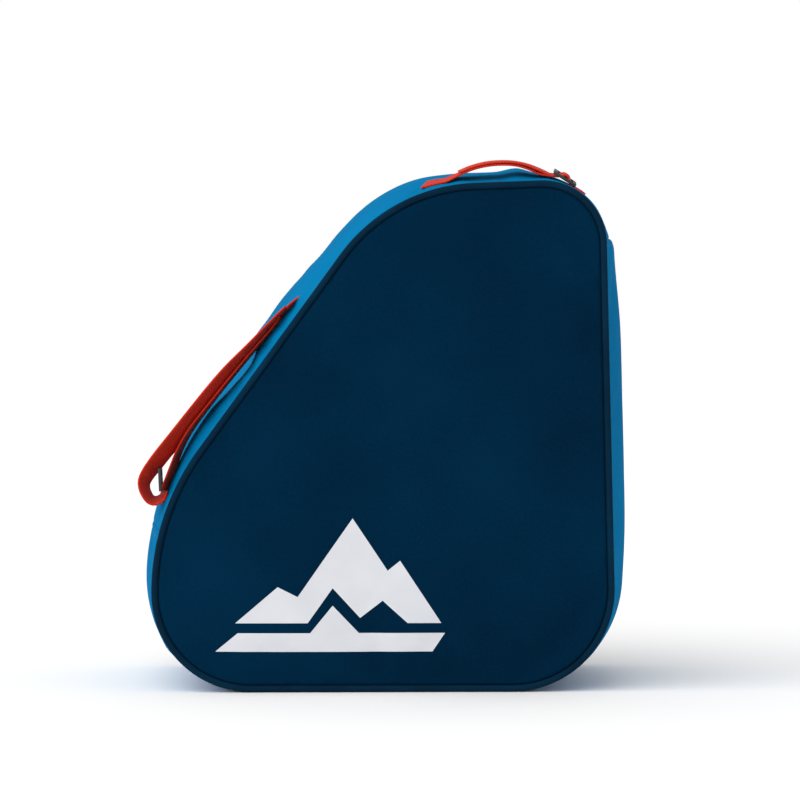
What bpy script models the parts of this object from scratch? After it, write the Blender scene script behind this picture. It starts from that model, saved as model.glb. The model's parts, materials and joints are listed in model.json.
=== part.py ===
"""Ski boot bag: a stiffened soft bag with one slanted side, a bulging gusset and a zipped flap behind.

Metres, +Z up, the front faces -Y. The origin is the middle of the flat underside. The back flap turns
about the slanting line between the two ends of the zip, the handle about its own front edge, the side
strap about its sewn end, and the two zip sliders run along the straight slanted side of the gusset.
"""

import math

import bmesh
import bpy
from mathutils import Matrix, Vector

# The panels' outline, to the outer edge of the piping: x, z and rounding radius, counter-clockwise.
PANEL_CORNERS = (
    (-0.1875, 0.0000, 0.080),  # foot, left
    (0.1867, 0.0000, 0.082),  # foot, right
    (0.1768, 0.4125, 0.052),  # top, right
    (0.0038, 0.4059, 0.140),  # top of the slanted side
    (-0.1875, 0.1434, 0.196),  # knee, where the slanted side meets the upright left edge
)
SLOPE_TOP, SLOPE_FOOT = 3, 4  # the corners that the slanted side joins
ARC_STEP = math.radians(9.0)
LINE_STEP = 0.045
LEFT_SEAM_Z = 0.131  # the cross seams of the gusset, where the zip ends
RIGHT_SEAM_Z = 0.363

HALF_DEPTH = 0.120  # middle of the bag to a panel's outer face
PANEL_THICK = 0.003
GAP = 0.0003

PIPING_RADIUS = 0.0027
PIPING_INSET = 0.0030  # from the outline to the piping's centre
PIPING_SIDES = 8
PANEL_INSET = PIPING_INSET + PIPING_RADIUS + GAP

GUSSET_HALF = HALF_DEPTH - 0.005  # half of the gusset's width, front seam to back seam
GUSSET_WALL = 0.002
BULGE_POWER = 2.2
# How far the gusset's middle swells past the outline, at places round it: x, z, swell.
SWELLS = (
    (-0.184, 0.118, 0.0072),
    (-0.187, 0.095, 0.0066),
    (-0.187, 0.072, 0.0048),
    (-0.176, 0.038, 0.0020),
    (-0.145, 0.009, 0.0),
    (0.143, 0.009, 0.0),
    (0.175, 0.040, 0.0060),
    (0.184, 0.080, 0.0110),
    (0.183, 0.150, 0.0146),
    (0.181, 0.230, 0.0152),
    (0.180, 0.290, 0.0142),
    (0.1785, 0.343, 0.0110),
    (0.178, 0.3625, 0.0095),
    (0.1775, 0.368, 0.0055),
    (0.162, 0.397, 0.0034),
    (0.1245, 0.4105, 0.0068),
    (0.109, 0.410, 0.0118),
    (0.092, 0.4093, 0.0086),
    (0.057, 0.4072, 0.0092),
    (0.030, 0.400, 0.0122),
    (-0.001, 0.385, 0.0118),
    (-0.030, 0.359, 0.0104),
    (-0.052, 0.330, 0.0130),
    (-0.075, 0.297, 0.0155),
    (-0.110, 0.250, 0.0150),
    (-0.144, 0.203, 0.0140),
    (-0.162, 0.1765, 0.0098),
    (-0.181, 0.130, 0.0078),
)

ZIP_Y = 0.012  # the zip runs just behind the middle of the gusset
TAPE_HALF = 0.014
TAPE_SHOWS = 0.006  # from the zip's middle to the cut edge of the gusset
COIL_HALF = 0.0034
COIL_SPLIT = 0.0004
TAPE_UNDER = (-0.0035, -0.0025)  # below and above, from the gusset's outer face
COIL_RISE = (-0.0022, 0.0003)
TAB_LENGTH = 0.018
TAB_HALF = 0.012
TAB_RISE = (0.0007, 0.0022)  # under and upper face, from the gusset's face
SEAM_SPLIT = 0.0008  # the free ends of the zipped strip, from the cross seams

BINDING_INNER, BINDING_OUTER = 0.0150, PANEL_INSET + GAP
BINDING_THICK = 0.0018

BOARD_THICK = 0.0025
BOARD_HALF_DEPTH = 0.108
BOARD_ENDS = (-0.104, 0.101)

PRINT_THICK = 0.0004

HINGE_SPLIT = 0.0010  # half of the gap along the flap's folding line
HINGE_Y = 0.1212

WEB_WIDTH = 0.025
WEB_THICK = 0.0016
WEB_Y = -0.095  # both webbings run near the front edge of the gusset
SEWN_RISE = (0.0005, 0.0021)  # under and upper face of webbing that is sewn down, from the gusset's face
HANDLE_AXIS = (0.097, -0.1105, 0.410)  # the handle tips forward about a line along X through here
STRAP_PIVOT = (0.0565, 0.0085)  # down the slope and off it: the side strap lifts about a line along Y

SLIDER_LENGTH = 0.013
SLIDER_WIDTH = 0.0073
SLIDER_Y = ZIP_Y - 0.0002 - SLIDER_WIDTH / 2.0
SLIDER_SEAT = 0.0008
SLIDER_BODY = 0.0024
SLIDER_T = (0.186, 0.157)  # down the slope; the upper slider's pull lies in the space between the two
CROWN_LENGTH, CROWN_WIDTH, CROWN_TOP = 0.0068, 0.0024, 0.0066
PIVOT_HEIGHT = 0.0042
WINDOW_LENGTH, WINDOW_HEIGHT = 0.0044, 0.0022
PULL_LENGTH, PULL_WIDTH, PULL_THICK = 0.026, 0.0070, 0.0012
PULL_BAR = 0.0014
EYE_END, EYE_WIDTH = 0.0062, 0.0046

ADJUSTER_WIDTH = 0.031
ADJUSTER_THICK = 0.0024
ADJUSTER_SLOT_WIDTH = 0.0266
END_BAR, CENTRE_BAR, SLOT = 0.0030, 0.0032, 0.0059
ADJUSTER_LENGTH = 2.0 * (END_BAR + SLOT) + CENTRE_BAR
HANDLE_ADJUSTER_AT = (0.1466, WEB_Y, 0.4156)
HANDLE_ADJUSTER_LEAN = math.radians(-24.0)
STRAP_ADJUSTER_ENDS = ((0.2295, 0.0160), (0.2390, 0.0066))  # down the slope and off it
# The webbing's weave through the handle's adjuster: along it, and off its middle plane, in millimetres.
WEAVE = (
    (-12.0, -2.6),
    (-7.2, -2.45),
    (-4.55, 0.0),
    (-1.9, 2.45),
    (0.0, 2.7),
    (1.9, 2.45),
    (4.55, 0.0),
    (7.2, -2.45),
    (8.5, -2.6),
)

NAVY = (0.004, 0.022, 0.050)
NAVY_DARK = (0.003, 0.014, 0.034)
BLUE = (0.004, 0.170, 0.420)
RED = (0.800, 0.060, 0.030)
SILVER = (0.720, 0.730, 0.740)
BLACK = (0.012, 0.012, 0.013)
GUNMETAL = (0.120, 0.120, 0.125)


def clear_scene():
    for obj in list(bpy.data.objects):
        bpy.data.objects.remove(obj, do_unlink=True)


def material(name, colour, roughness, metallic=0.0):
    made = bpy.data.materials.new(name)
    made.use_nodes = True
    shader = made.node_tree.nodes["Principled BSDF"]
    shader.inputs["Base Color"].default_value = (*colour, 1.0)
    shader.inputs["Roughness"].default_value = roughness
    shader.inputs["Metallic"].default_value = metallic
    return made


def add_object(name, bm, look, centre=(0.0, 0.0, 0.0)):
    """Turns the bmesh, drawn in world coordinates, into an object whose origin is at centre."""
    bmesh.ops.recalc_face_normals(bm, faces=bm.faces)
    bmesh.ops.translate(bm, verts=bm.verts, vec=-Vector(centre))
    mesh = bpy.data.meshes.new(name)
    bm.to_mesh(mesh)
    bm.free()
    mesh.shade_smooth()
    mesh.set_sharp_from_angle(angle=math.radians(35.0))
    obj = bpy.data.objects.new(name, mesh)
    obj.location = centre
    obj.data.materials.append(look)
    bpy.context.scene.collection.objects.link(obj)
    return obj


class Station:
    """A place on the outline: its point and outward normal in the XZ plane, and the length round to it."""

    def __init__(self, x, z, nx, nz, along=0.0):
        self.x, self.z, self.nx, self.nz, self.along = x, z, nx, nz, along

    def at(self, y, out):
        return Vector((self.x + self.nx * out, y, self.z + self.nz * out))


def rounded_outline(corners):
    """Stations round a polygon with rounded corners, counter-clockwise from the first corner's arc."""
    found = []
    count = len(corners)
    for i, (x, z, radius) in enumerate(corners):
        corner = Vector((x, z))
        before = (corner - Vector(corners[i - 1][:2])).normalized()
        after = (Vector(corners[(i + 1) % count][:2]) - corner).normalized()
        turn = before.angle(after)
        tangent = radius * math.tan(turn / 2.0)
        start = corner - before * tangent
        centre = start + Vector((-before.y, before.x)) * radius
        first = math.atan2(-before.x, before.y)
        steps = max(2, math.ceil(turn / ARC_STEP))
        for k in range(steps + 1):
            angle = first + turn * k / steps
            nx, nz = math.cos(angle), math.sin(angle)
            found.append(Station(centre.x + nx * radius, centre.y + nz * radius, nx, nz))
        following = corners[(i + 1) % count]
        end = corner + after * tangent
        next_after = (Vector(corners[(i + 2) % count][:2]) - Vector(following[:2])).normalized()
        next_start = Vector(following[:2]) - after * following[2] * math.tan(after.angle(next_after) / 2.0)
        pieces = max(1, round((next_start - end).length / LINE_STEP))
        for k in range(1, pieces):
            point = end.lerp(next_start, k / pieces)
            found.append(Station(point.x, point.y, after.y, -after.x))
    along = 0.0
    for previous, station in zip(found, found[1:]):
        along += math.hypot(station.x - previous.x, station.z - previous.z)
        station.along = along
    return found


OUTLINE = rounded_outline(PANEL_CORNERS)
ROUND = OUTLINE[-1].along + math.hypot(OUTLINE[0].x - OUTLINE[-1].x, OUTLINE[0].z - OUTLINE[-1].z)


def station_at(along):
    """The station at this length round the outline, which may run past one full turn."""
    along %= ROUND
    for i, station in enumerate(OUTLINE):
        following = OUTLINE[(i + 1) % len(OUTLINE)]
        end = following.along if following.along > station.along else ROUND
        if station.along <= along <= end:
            part = (along - station.along) / (end - station.along) if end > station.along else 0.0
            normal = Vector((station.nx, station.nz)).lerp(Vector((following.nx, following.nz)), part)
            normal.normalize()
            x = station.x + (following.x - station.x) * part
            z = station.z + (following.z - station.z) * part
            return Station(x, z, normal.x, normal.y, along)
    return OUTLINE[0]


def along_near(x, z):
    """The length round the outline to its nearest point, to within half a millimetre."""
    steps = int(ROUND / 0.0005)
    return min(
        (k * ROUND / steps for k in range(steps)),
        key=lambda along: math.hypot(station_at(along).x - x, station_at(along).z - z),
    )


def run(start, end):
    """Stations from one length to another, counter-clockwise, with an exact one at each end."""
    span = (end - start) % ROUND
    inner = [s for s in OUTLINE if 0.002 < (s.along - start) % ROUND < span - 0.002]
    inner.sort(key=lambda s: (s.along - start) % ROUND)
    return [station_at(start), *inner, station_at(end)]


SWELL_KNOTS = sorted((along_near(x, z), swell) for x, z, swell in SWELLS)
LEFT_SEAM = along_near(-0.1870, LEFT_SEAM_Z)
RIGHT_SEAM = along_near(0.1780, RIGHT_SEAM_Z)


def swell_at(along):
    """How far the middle of the gusset swells: a smooth curve through the knots, never under the outline."""
    along %= ROUND
    count = len(SWELL_KNOTS)
    knots = [(place + ROUND * turn, swell) for turn in (-1, 0, 1) for place, swell in SWELL_KNOTS]
    i = max(k for k in range(count - 1, 2 * count + 1) if knots[k][0] <= along)
    (a, low), (b, high) = knots[i], knots[i + 1]
    part = (along - a) / (b - a)
    low_slope = (high - knots[i - 1][1]) / (b - knots[i - 1][0]) * (b - a)
    high_slope = (knots[i + 2][1] - low) / (knots[i + 2][0] - a) * (b - a)
    square, cube = part * part, part * part * part
    swell = (2.0 * cube - 3.0 * square + 1.0) * low + (cube - 2.0 * square + part) * low_slope
    swell += (3.0 * square - 2.0 * cube) * high + (cube - square) * high_slope
    return max(swell, 0.0)


def surface(station, y):
    """Height of the gusset's outer face over the outline, at this depth."""
    return swell_at(station.along) * (1.0 - abs(y / GUSSET_HALF) ** BULGE_POWER)


def spread(low, high, count):
    return [low + (high - low) * k / count for k in range(count + 1)]


def skin(rows_of_points, bm, closed_round=False):
    """Joins rows of section points into a tube of quads, closed round on itself or capped at both ends."""
    rows = [[bm.verts.new(point) for point in row] for row in rows_of_points]
    size = len(rows[0])
    pairs = list(zip(rows, rows[1:]))
    if closed_round:
        pairs.append((rows[-1], rows[0]))
    for a, b in pairs:
        for k in range(size):
            j = (k + 1) % size
            bm.faces.new((a[k], a[j], b[j], b[k]))
    if not closed_round:
        bm.faces.new(rows[0])
        bm.faces.new(rows[-1])


def band(name, stations, depths, low, high, look, centre=(0.0, 0.0, 0.0)):
    """A strip that follows the gusset's swollen face, between two heights over it."""
    bm = bmesh.new()
    rows = []
    for s in stations:
        upper = [s.at(y, surface(s, y) + high) for y in depths]
        lower = [s.at(y, surface(s, y) + low) for y in reversed(depths)]
        rows.append(upper + lower)
    skin(rows, bm)
    return add_object(name, bm, look, centre)


def plate_bmesh(points, y_front, y_back):
    """A flat plate with this XZ outline, between two depths."""
    bm = bmesh.new()
    face = bm.faces.new([bm.verts.new((x, y_front, z)) for x, z in points])
    made = bmesh.ops.extrude_face_region(bm, geom=[face])
    moved = [item for item in made["geom"] if isinstance(item, bmesh.types.BMVert)]
    bmesh.ops.translate(bm, verts=moved, vec=(0.0, y_back - y_front, 0.0))
    return bm


def panel_points(inset):
    return [(s.x - s.nx * inset, s.z - s.nz * inset) for s in OUTLINE]


def ring_bmesh(section):
    """A closed ring round the outline; section lists (height over the outline, depth) pairs."""
    bm = bmesh.new()
    skin([[s.at(y, out) for out, y in section] for s in OUTLINE], bm, closed_round=True)
    return bm


def piping_section(y):
    angles = [2.0 * math.pi * k / PIPING_SIDES for k in range(PIPING_SIDES)]
    return [(-PIPING_INSET + PIPING_RADIUS * math.cos(a), y + PIPING_RADIUS * math.sin(a)) for a in angles]


HINGE_LEFT = station_at(LEFT_SEAM)
HINGE_RIGHT = station_at(RIGHT_SEAM)
HINGE_LINE = Vector((HINGE_RIGHT.x - HINGE_LEFT.x, 0.0, HINGE_RIGHT.z - HINGE_LEFT.z)).normalized()
HINGE_UP = Vector((-HINGE_LINE.z, 0.0, HINGE_LINE.x))
HINGE_POINT = Vector((HINGE_LEFT.x, HINGE_Y, HINGE_LEFT.z))


def keep_side(bm, upper):
    """Cuts a shape at the flap's folding line, keeps one side of it, and closes the cuts."""
    sign = 1.0 if upper else -1.0
    geometry = [*bm.verts, *bm.edges, *bm.faces]
    bmesh.ops.bisect_plane(
        bm,
        geom=geometry,
        plane_co=HINGE_POINT + HINGE_UP * sign * HINGE_SPLIT,
        plane_no=-HINGE_UP * sign,
        clear_outer=True,
    )
    bmesh.ops.holes_fill(bm, edges=[edge for edge in bm.edges if edge.is_boundary])
    return bm


def smooth_curve(points, per_span):
    """Points on a smooth curve through the given ones (Catmull-Rom)."""
    ends = [points[0] * 2.0 - points[1], *points, points[-1] * 2.0 - points[-2]]
    found = []
    for a, b, c, d in zip(ends, ends[1:], ends[2:], ends[3:]):
        for k in range(per_span):
            t = k / per_span
            found.append(
                0.5 * (2.0 * b + (c - a) * t + (2.0 * a - 5.0 * b + 4.0 * c - d) * t * t
                       + (3.0 * b - a - 3.0 * c + d) * t ** 3)
            )
    found.append(points[-1].copy())
    return found


def webbing(name, route, look, centre, per_span=3):
    """Flat webbing along a route of (x, z, roll in degrees); roll lifts its back edge off the bag."""
    path = smooth_curve([Vector((x, z, math.radians(roll))) for x, z, roll in route], per_span)
    bm = bmesh.new()
    rows = []
    for i, (x, z, roll) in enumerate(path):
        ahead = path[min(i + 1, len(path) - 1)]
        behind = path[max(i - 1, 0)]
        tangent = Vector((ahead[0] - behind[0], 0.0, ahead[1] - behind[1])).normalized()
        normal = Vector((-tangent.z, 0.0, tangent.x))
        across = Vector((0.0, 1.0, 0.0)) * math.cos(roll) + normal * math.sin(roll)
        up = normal * math.cos(roll) - Vector((0.0, 1.0, 0.0)) * math.sin(roll)
        middle = Vector((x, WEB_Y, z))
        half, rise = across * WEB_WIDTH / 2.0, up * WEB_THICK / 2.0
        rows.append([middle - half - rise, middle + half - rise, middle + half + rise, middle - half + rise])
    skin(rows, bm)
    return add_object(name, bm, look, centre)


def box_bmesh(size, centre):
    bm = bmesh.new()
    bmesh.ops.create_cube(bm, size=1.0, matrix=Matrix.Translation(centre) @ Matrix.Diagonal((*size, 1.0)))
    return bm


def placed(bm, frame):
    bmesh.ops.transform(bm, matrix=frame, verts=bm.verts)
    return bm


def cut_with(obj, name, bm, frame):
    """Cuts a hidden box shape, drawn in the same frame, out of the object."""
    cutter = add_object(name, placed(bm, frame), obj.data.materials[0], obj.location)
    cutter.hide_render = True
    cutter.display_type = "WIRE"
    modifier = obj.modifiers.new(name, "BOOLEAN")
    modifier.operation = "DIFFERENCE"
    modifier.object = cutter
    modifier.solver = "EXACT"


def frame_of(origin, along, across, up):
    """A matrix whose columns are the three directions, placed at origin."""
    rotation = Matrix((along, across, up)).transposed().to_4x4()
    return Matrix.Translation(origin) @ rotation


# The slanted side: t runs down it from its top tangent point, h stands off it.
SLOPE_DIRECTION = Vector(
    (
        PANEL_CORNERS[SLOPE_FOOT][0] - PANEL_CORNERS[SLOPE_TOP][0],
        0.0,
        PANEL_CORNERS[SLOPE_FOOT][1] - PANEL_CORNERS[SLOPE_TOP][1],
    )
).normalized()
SLOPE_OUT = Vector((SLOPE_DIRECTION.z, 0.0, -SLOPE_DIRECTION.x))
SLOPE_ORIGIN = Vector((-0.0360, 0.0, 0.3512))


def on_slope(t, h, y=0.0):
    return SLOPE_ORIGIN + SLOPE_DIRECTION * t + SLOPE_OUT * h + Vector((0.0, y, 0.0))


STRAP_AXIS = on_slope(*STRAP_PIVOT, WEB_Y)


def slope_route(points):
    """Turns (t, h, roll), in mm and degrees, into a webbing route that runs up the slope, outer face out."""
    found = []
    for t, h, roll in points:
        place = on_slope(t * 0.001, h * 0.001)
        found.append((place.x, place.z, roll))
    return found[::-1]


def make_shell(looks):
    """The panels, piping and bindings, the back ones cut at the folding line, the lower gusset and the board."""
    front = plate_bmesh(panel_points(PANEL_INSET), -HALF_DEPTH, -HALF_DEPTH + PANEL_THICK)
    add_object("front_panel", front, looks["navy"])
    pipe_y = HALF_DEPTH - 0.0020
    binding_y = (HALF_DEPTH - PANEL_THICK - GAP, HALF_DEPTH - PANEL_THICK - GAP - BINDING_THICK)
    inner, outer = -BINDING_INNER, -BINDING_OUTER

    def binding_section(side):
        a, b = side * binding_y[0], side * binding_y[1]
        return [(outer, a), (outer, b), (inner, b), (inner, a)]

    add_object("front_piping", ring_bmesh(piping_section(-pipe_y)), looks["piping"])
    add_object("front_seam_binding", ring_bmesh(binding_section(-1.0)), looks["binding"])
    for upper, panel, piping, binding in (
        (False, "back_panel", "back_piping", "back_seam_binding"),
        (True, "flap_panel", "flap_piping", "flap_seam_binding"),
    ):
        centre = HINGE_POINT if upper else (0.0, 0.0, 0.0)
        plate = plate_bmesh(panel_points(PANEL_INSET), HALF_DEPTH - PANEL_THICK, HALF_DEPTH)
        add_object(panel, keep_side(plate, upper), looks["navy"], centre)
        add_object(piping, keep_side(ring_bmesh(piping_section(pipe_y)), upper), looks["piping"], centre)
        add_object(binding, keep_side(ring_bmesh(binding_section(1.0)), upper), looks["binding"], centre)

    whole = spread(-GUSSET_HALF, GUSSET_HALF, 10)
    band("lower_gusset", run(LEFT_SEAM, RIGHT_SEAM), whole, -GUSSET_WALL, 0.0, looks["blue"])
    board = box_bmesh(
        (BOARD_ENDS[1] - BOARD_ENDS[0], 2.0 * BOARD_HALF_DEPTH, BOARD_THICK),
        (sum(BOARD_ENDS) / 2.0, 0.0, GUSSET_WALL + GAP + BOARD_THICK / 2.0),
    )
    add_object("base_board", board, looks["board"])


def make_print(looks):
    """A generic mountain graphic low on the front panel: a snowy range over a foothill stripe."""
    y_back = -HALF_DEPTH - GAP
    y_front = y_back - PRINT_THICK
    range_outline = (
        (-0.1200, 0.0560),
        (-0.0860, 0.0850),
        (-0.0700, 0.0770),
        (-0.0260, 0.1400),
        (0.0020, 0.0980),
        (0.0120, 0.1060),
        (0.0450, 0.0560),
        (0.0180, 0.0560),
        (-0.0020, 0.0740),
        (-0.0200, 0.0600),
        (-0.0420, 0.0840),
        (-0.0620, 0.0560),
    )
    foothill_outline = (
        (-0.1360, 0.0330),
        (-0.1180, 0.0480),
        (-0.0600, 0.0480),
        (-0.0420, 0.0700),
        (-0.0210, 0.0480),
        (0.0480, 0.0480),
        (0.0380, 0.0330),
    )
    add_object("front_print_range", plate_bmesh(range_outline, y_front, y_back), looks["silver"])
    add_object("front_print_foothill", plate_bmesh(foothill_outline, y_front, y_back), looks["silver"])


def make_zip(looks):
    """The zipped length of the gusset: front strip, flap strip, tapes, coils and the tabs over its ends."""
    stations = run(RIGHT_SEAM + SEAM_SPLIT, LEFT_SEAM - SEAM_SPLIT)
    front_edge, flap_edge = ZIP_Y - TAPE_SHOWS, ZIP_Y + TAPE_SHOWS
    front_rows = [*spread(-GUSSET_HALF, ZIP_Y - TAPE_HALF, 6), front_edge]
    flap_rows = [flap_edge, *spread(ZIP_Y + TAPE_HALF, GUSSET_HALF, 5)]
    band("zip_gusset_front", stations, front_rows, -GUSSET_WALL, 0.0, looks["blue"])
    band("flap_gusset", stations, flap_rows, -GUSSET_WALL, 0.0, looks["blue"], HINGE_POINT)
    for name, side, centre in (("front", -1.0, (0.0, 0.0, 0.0)), ("flap", 1.0, HINGE_POINT)):
        tape = sorted((ZIP_Y + side * TAPE_HALF, ZIP_Y + side * TAPE_SHOWS, ZIP_Y + side * COIL_SPLIT))
        coil = sorted((ZIP_Y + side * COIL_HALF, ZIP_Y + side * COIL_SPLIT))
        band(f"zip_tape_{name}", stations, tape, *TAPE_UNDER, looks["tape"], centre)
        band(f"zip_coil_{name}", stations, coil, *COIL_RISE, looks["coil"], centre)
    tab_rows = spread(ZIP_Y - TAB_HALF, ZIP_Y + TAB_HALF, 2)
    for name, start, end in (
        ("zip_tab_left", LEFT_SEAM + SEAM_SPLIT, LEFT_SEAM + TAB_LENGTH),
        ("zip_tab_right", RIGHT_SEAM - TAB_LENGTH, RIGHT_SEAM - SEAM_SPLIT),
    ):
        band(name, run(start, end), tab_rows, *TAB_RISE, looks["binding"])


def slider_frame(t):
    """Along down the slope, across to the back, up off the gusset's face at the zip."""
    crest = surface(station_at(along_near(on_slope(t, 0.0).x, on_slope(t, 0.0).z)), ZIP_Y)
    origin = on_slope(t, crest, SLIDER_Y)
    return frame_of(origin, SLOPE_DIRECTION, Vector((0.0, 1.0, 0.0)), SLOPE_OUT)


def make_slider(name, t, looks):
    frame = slider_frame(t)
    body = box_bmesh((SLIDER_LENGTH, SLIDER_WIDTH, SLIDER_BODY), (0.0, 0.0, SLIDER_SEAT + SLIDER_BODY / 2.0))
    obj = add_object(name, placed(body, frame), looks["metal"], frame.translation)
    foot = SLIDER_SEAT + SLIDER_BODY / 2.0
    crown = box_bmesh((CROWN_LENGTH, CROWN_WIDTH, CROWN_TOP - foot), (0.0, 0.0, (foot + CROWN_TOP) / 2.0))
    helper = add_object(name + "_crown", placed(crown, frame), looks["metal"])
    helper.hide_render = True
    helper.display_type = "WIRE"
    join = obj.modifiers.new("crown", "BOOLEAN")
    join.operation = "UNION"
    join.object = helper
    join.solver = "EXACT"
    window = box_bmesh((WINDOW_LENGTH, 4.0 * CROWN_WIDTH, WINDOW_HEIGHT), (0.0, 0.0, PIVOT_HEIGHT))
    cut_with(obj, name + "_window", window, frame)


def make_pull(name, t, looks):
    """A flat pull with an eye; its short bar runs through the crown's window, on the hinge axis."""
    frame = slider_frame(t) @ Matrix.Translation((0.0, 0.0, PIVOT_HEIGHT))
    back = -PULL_BAR / 2.0
    plate = box_bmesh((PULL_LENGTH, PULL_WIDTH, PULL_THICK), (back + PULL_LENGTH / 2.0, 0.0, 0.0))
    obj = add_object(name, placed(plate, frame), looks["metal"], frame.translation)
    eye_start = PULL_BAR / 2.0
    eye_size = (EYE_END - eye_start, EYE_WIDTH, 4.0 * PULL_THICK)
    eye = box_bmesh(eye_size, ((EYE_END + eye_start) / 2.0, 0.0, 0.0))
    cut_with(obj, name + "_eye", eye, frame)


def make_adjuster(name, middle, along, length, looks, centre):
    """A tri-glide: a frame with two slots and a bar between them, stretched to the given length."""
    across = Vector((0.0, 1.0, 0.0))
    up = along.cross(across)
    frame = frame_of(middle, along, across, up)
    scale = length / ADJUSTER_LENGTH
    plate = box_bmesh((length, ADJUSTER_WIDTH, ADJUSTER_THICK), (0.0, 0.0, 0.0))
    obj = add_object(name, placed(plate, frame), looks["plastic"], centre)
    offset = (CENTRE_BAR + SLOT) / 2.0 * scale
    for side, tag in ((-1.0, "_slot_a"), (1.0, "_slot_b")):
        slot = box_bmesh((SLOT * scale, ADJUSTER_SLOT_WIDTH, 4.0 * ADJUSTER_THICK), (side * offset, 0.0, 0.0))
        cut_with(obj, name + tag, slot, frame)


def make_handle(looks):
    """The top handle: sewn ends on the gusset, the arched webbing, its adjuster and the tail above it."""
    rows = spread(WEB_Y - WEB_WIDTH / 2.0, WEB_Y + WEB_WIDTH / 2.0, 2)
    for name, (x0, z0), (x1, z1) in (
        ("handle_end_left", (0.0450, 0.4040), (0.0310, 0.4004)),
        ("handle_end_right", (0.1640, 0.3950), (0.1575, 0.4012)),
    ):
        band(name, run(along_near(x0, z0), along_near(x1, z1)), rows, *SEWN_RISE, looks["red"])
    along = Vector((math.cos(HANDLE_ADJUSTER_LEAN), 0.0, math.sin(HANDLE_ADJUSTER_LEAN)))
    up = Vector((-along.z, 0.0, along.x))
    woven = []
    for u, w in WEAVE:
        place = Vector(HANDLE_ADJUSTER_AT) + (along * u + up * w) * 0.001
        woven.append((place.x, place.z, 0.0))
    rise = (
        (0.0463, 0.4107, 10.0),
        (0.0576, 0.4153, 7.0),
        (0.0700, 0.4196, 4.0),
        (0.0824, 0.4232, 0.0),
        (0.0976, 0.4250, 0.0),
        (0.1104, 0.4242, 0.0),
        (0.1230, 0.4205, 0.0),
    )
    webbing("handle_webbing", (*rise, *woven), looks["red"], HANDLE_AXIS)
    make_adjuster("handle_adjuster", Vector(HANDLE_ADJUSTER_AT), along, ADJUSTER_LENGTH, looks, HANDLE_AXIS)
    tail = (
        (0.1140, 0.4266, 0.0),
        (0.1238, 0.4237, 0.0),
        (0.1305, 0.4210, 0.0),
    )
    webbing("handle_tail", tail, looks["red"], HANDLE_AXIS)


def make_side_strap(looks):
    """The loop on the slanted side: its sewn end, outer run, inner run, and the adjuster in its lower fold."""
    rows = spread(WEB_Y - WEB_WIDTH / 2.0, WEB_Y + WEB_WIDTH / 2.0, 2)
    top, foot = on_slope(0.038, 0.0), on_slope(0.056, 0.0)
    stations = run(along_near(top.x, top.z), along_near(foot.x, foot.z))
    band("side_strap_end", stations, rows, *SEWN_RISE, looks["red"])
    outer = slope_route(
        (
            (60.0, 11.0, 17.8),
            (66.0, 11.6, 17.8),
            (82.0, 12.6, 17.8),
            (104.0, 14.2, 17.8),
            (130.0, 16.2, 17.8),
            (157.0, 18.4, 17.8),
            (195.0, 20.8, 17.8),
            (226.0, 22.0, 17.0),
            (238.5, 20.0, 15.0),
            (245.5, 15.0, 14.0),
            (248.5, 8.0, 13.0),
            (246.6, 3.2, 12.5),
        )
    )
    webbing("side_strap_outer", outer, looks["red"], STRAP_AXIS)
    inner = slope_route(
        (
            (62.0, 8.8, 17.8),
            (82.0, 8.9, 17.8),
            (130.0, 8.9, 17.8),
            (178.0, 8.8, 17.8),
            (200.0, 8.3, 17.0),
            (215.0, 6.6, 16.0),
            (227.0, 4.4, 15.0),
            (237.0, 1.9, 13.0),
            (243.5, 0.0, 12.5),
        )
    )
    webbing("side_strap_inner", inner, looks["red"], STRAP_AXIS)
    high_end, low_end = (on_slope(t, h, WEB_Y) for t, h in STRAP_ADJUSTER_ENDS)
    span = low_end - high_end
    middle = (high_end + low_end) / 2.0
    make_adjuster("side_strap_adjuster", middle, span.normalized(), span.length, looks, STRAP_AXIS)


def main():
    clear_scene()
    looks = {
        "navy": material("navy_woven_polyester", NAVY, 0.75),
        "piping": material("navy_piping", NAVY_DARK, 0.60),
        "blue": material("blue_woven_polyester", BLUE, 0.70),
        "binding": material("black_binding_tape", BLACK, 0.80),
        "tape": material("zip_tape", NAVY_DARK, 0.80),
        "coil": material("zip_coil", BLACK, 0.45),
        "board": material("board", GUNMETAL, 0.70),
        "silver": material("silver_print", SILVER, 0.40),
        "red": material("red_webbing", RED, 0.65),
        "plastic": material("black_acetal", BLACK, 0.40),
        "metal": material("dark_zinc", GUNMETAL, 0.35, 1.0),
    }
    make_shell(looks)
    make_print(looks)
    make_zip(looks)
    for name, t in zip(("lower", "upper"), SLIDER_T):
        make_slider(f"zip_slider_{name}", t, looks)
        make_pull(f"zip_pull_{name}", t, looks)
    make_handle(looks)
    make_side_strap(looks)


main()
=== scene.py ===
"""Looks of the ski boot bag: woven panels, piping, gusset, zip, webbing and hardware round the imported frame.

Metres, +Z up, the front faces -Y. Places on the gusset are read as a length round the panels' outline,
counter-clockwise from the front, with a depth along Y and a height off the outline.
"""

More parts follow.
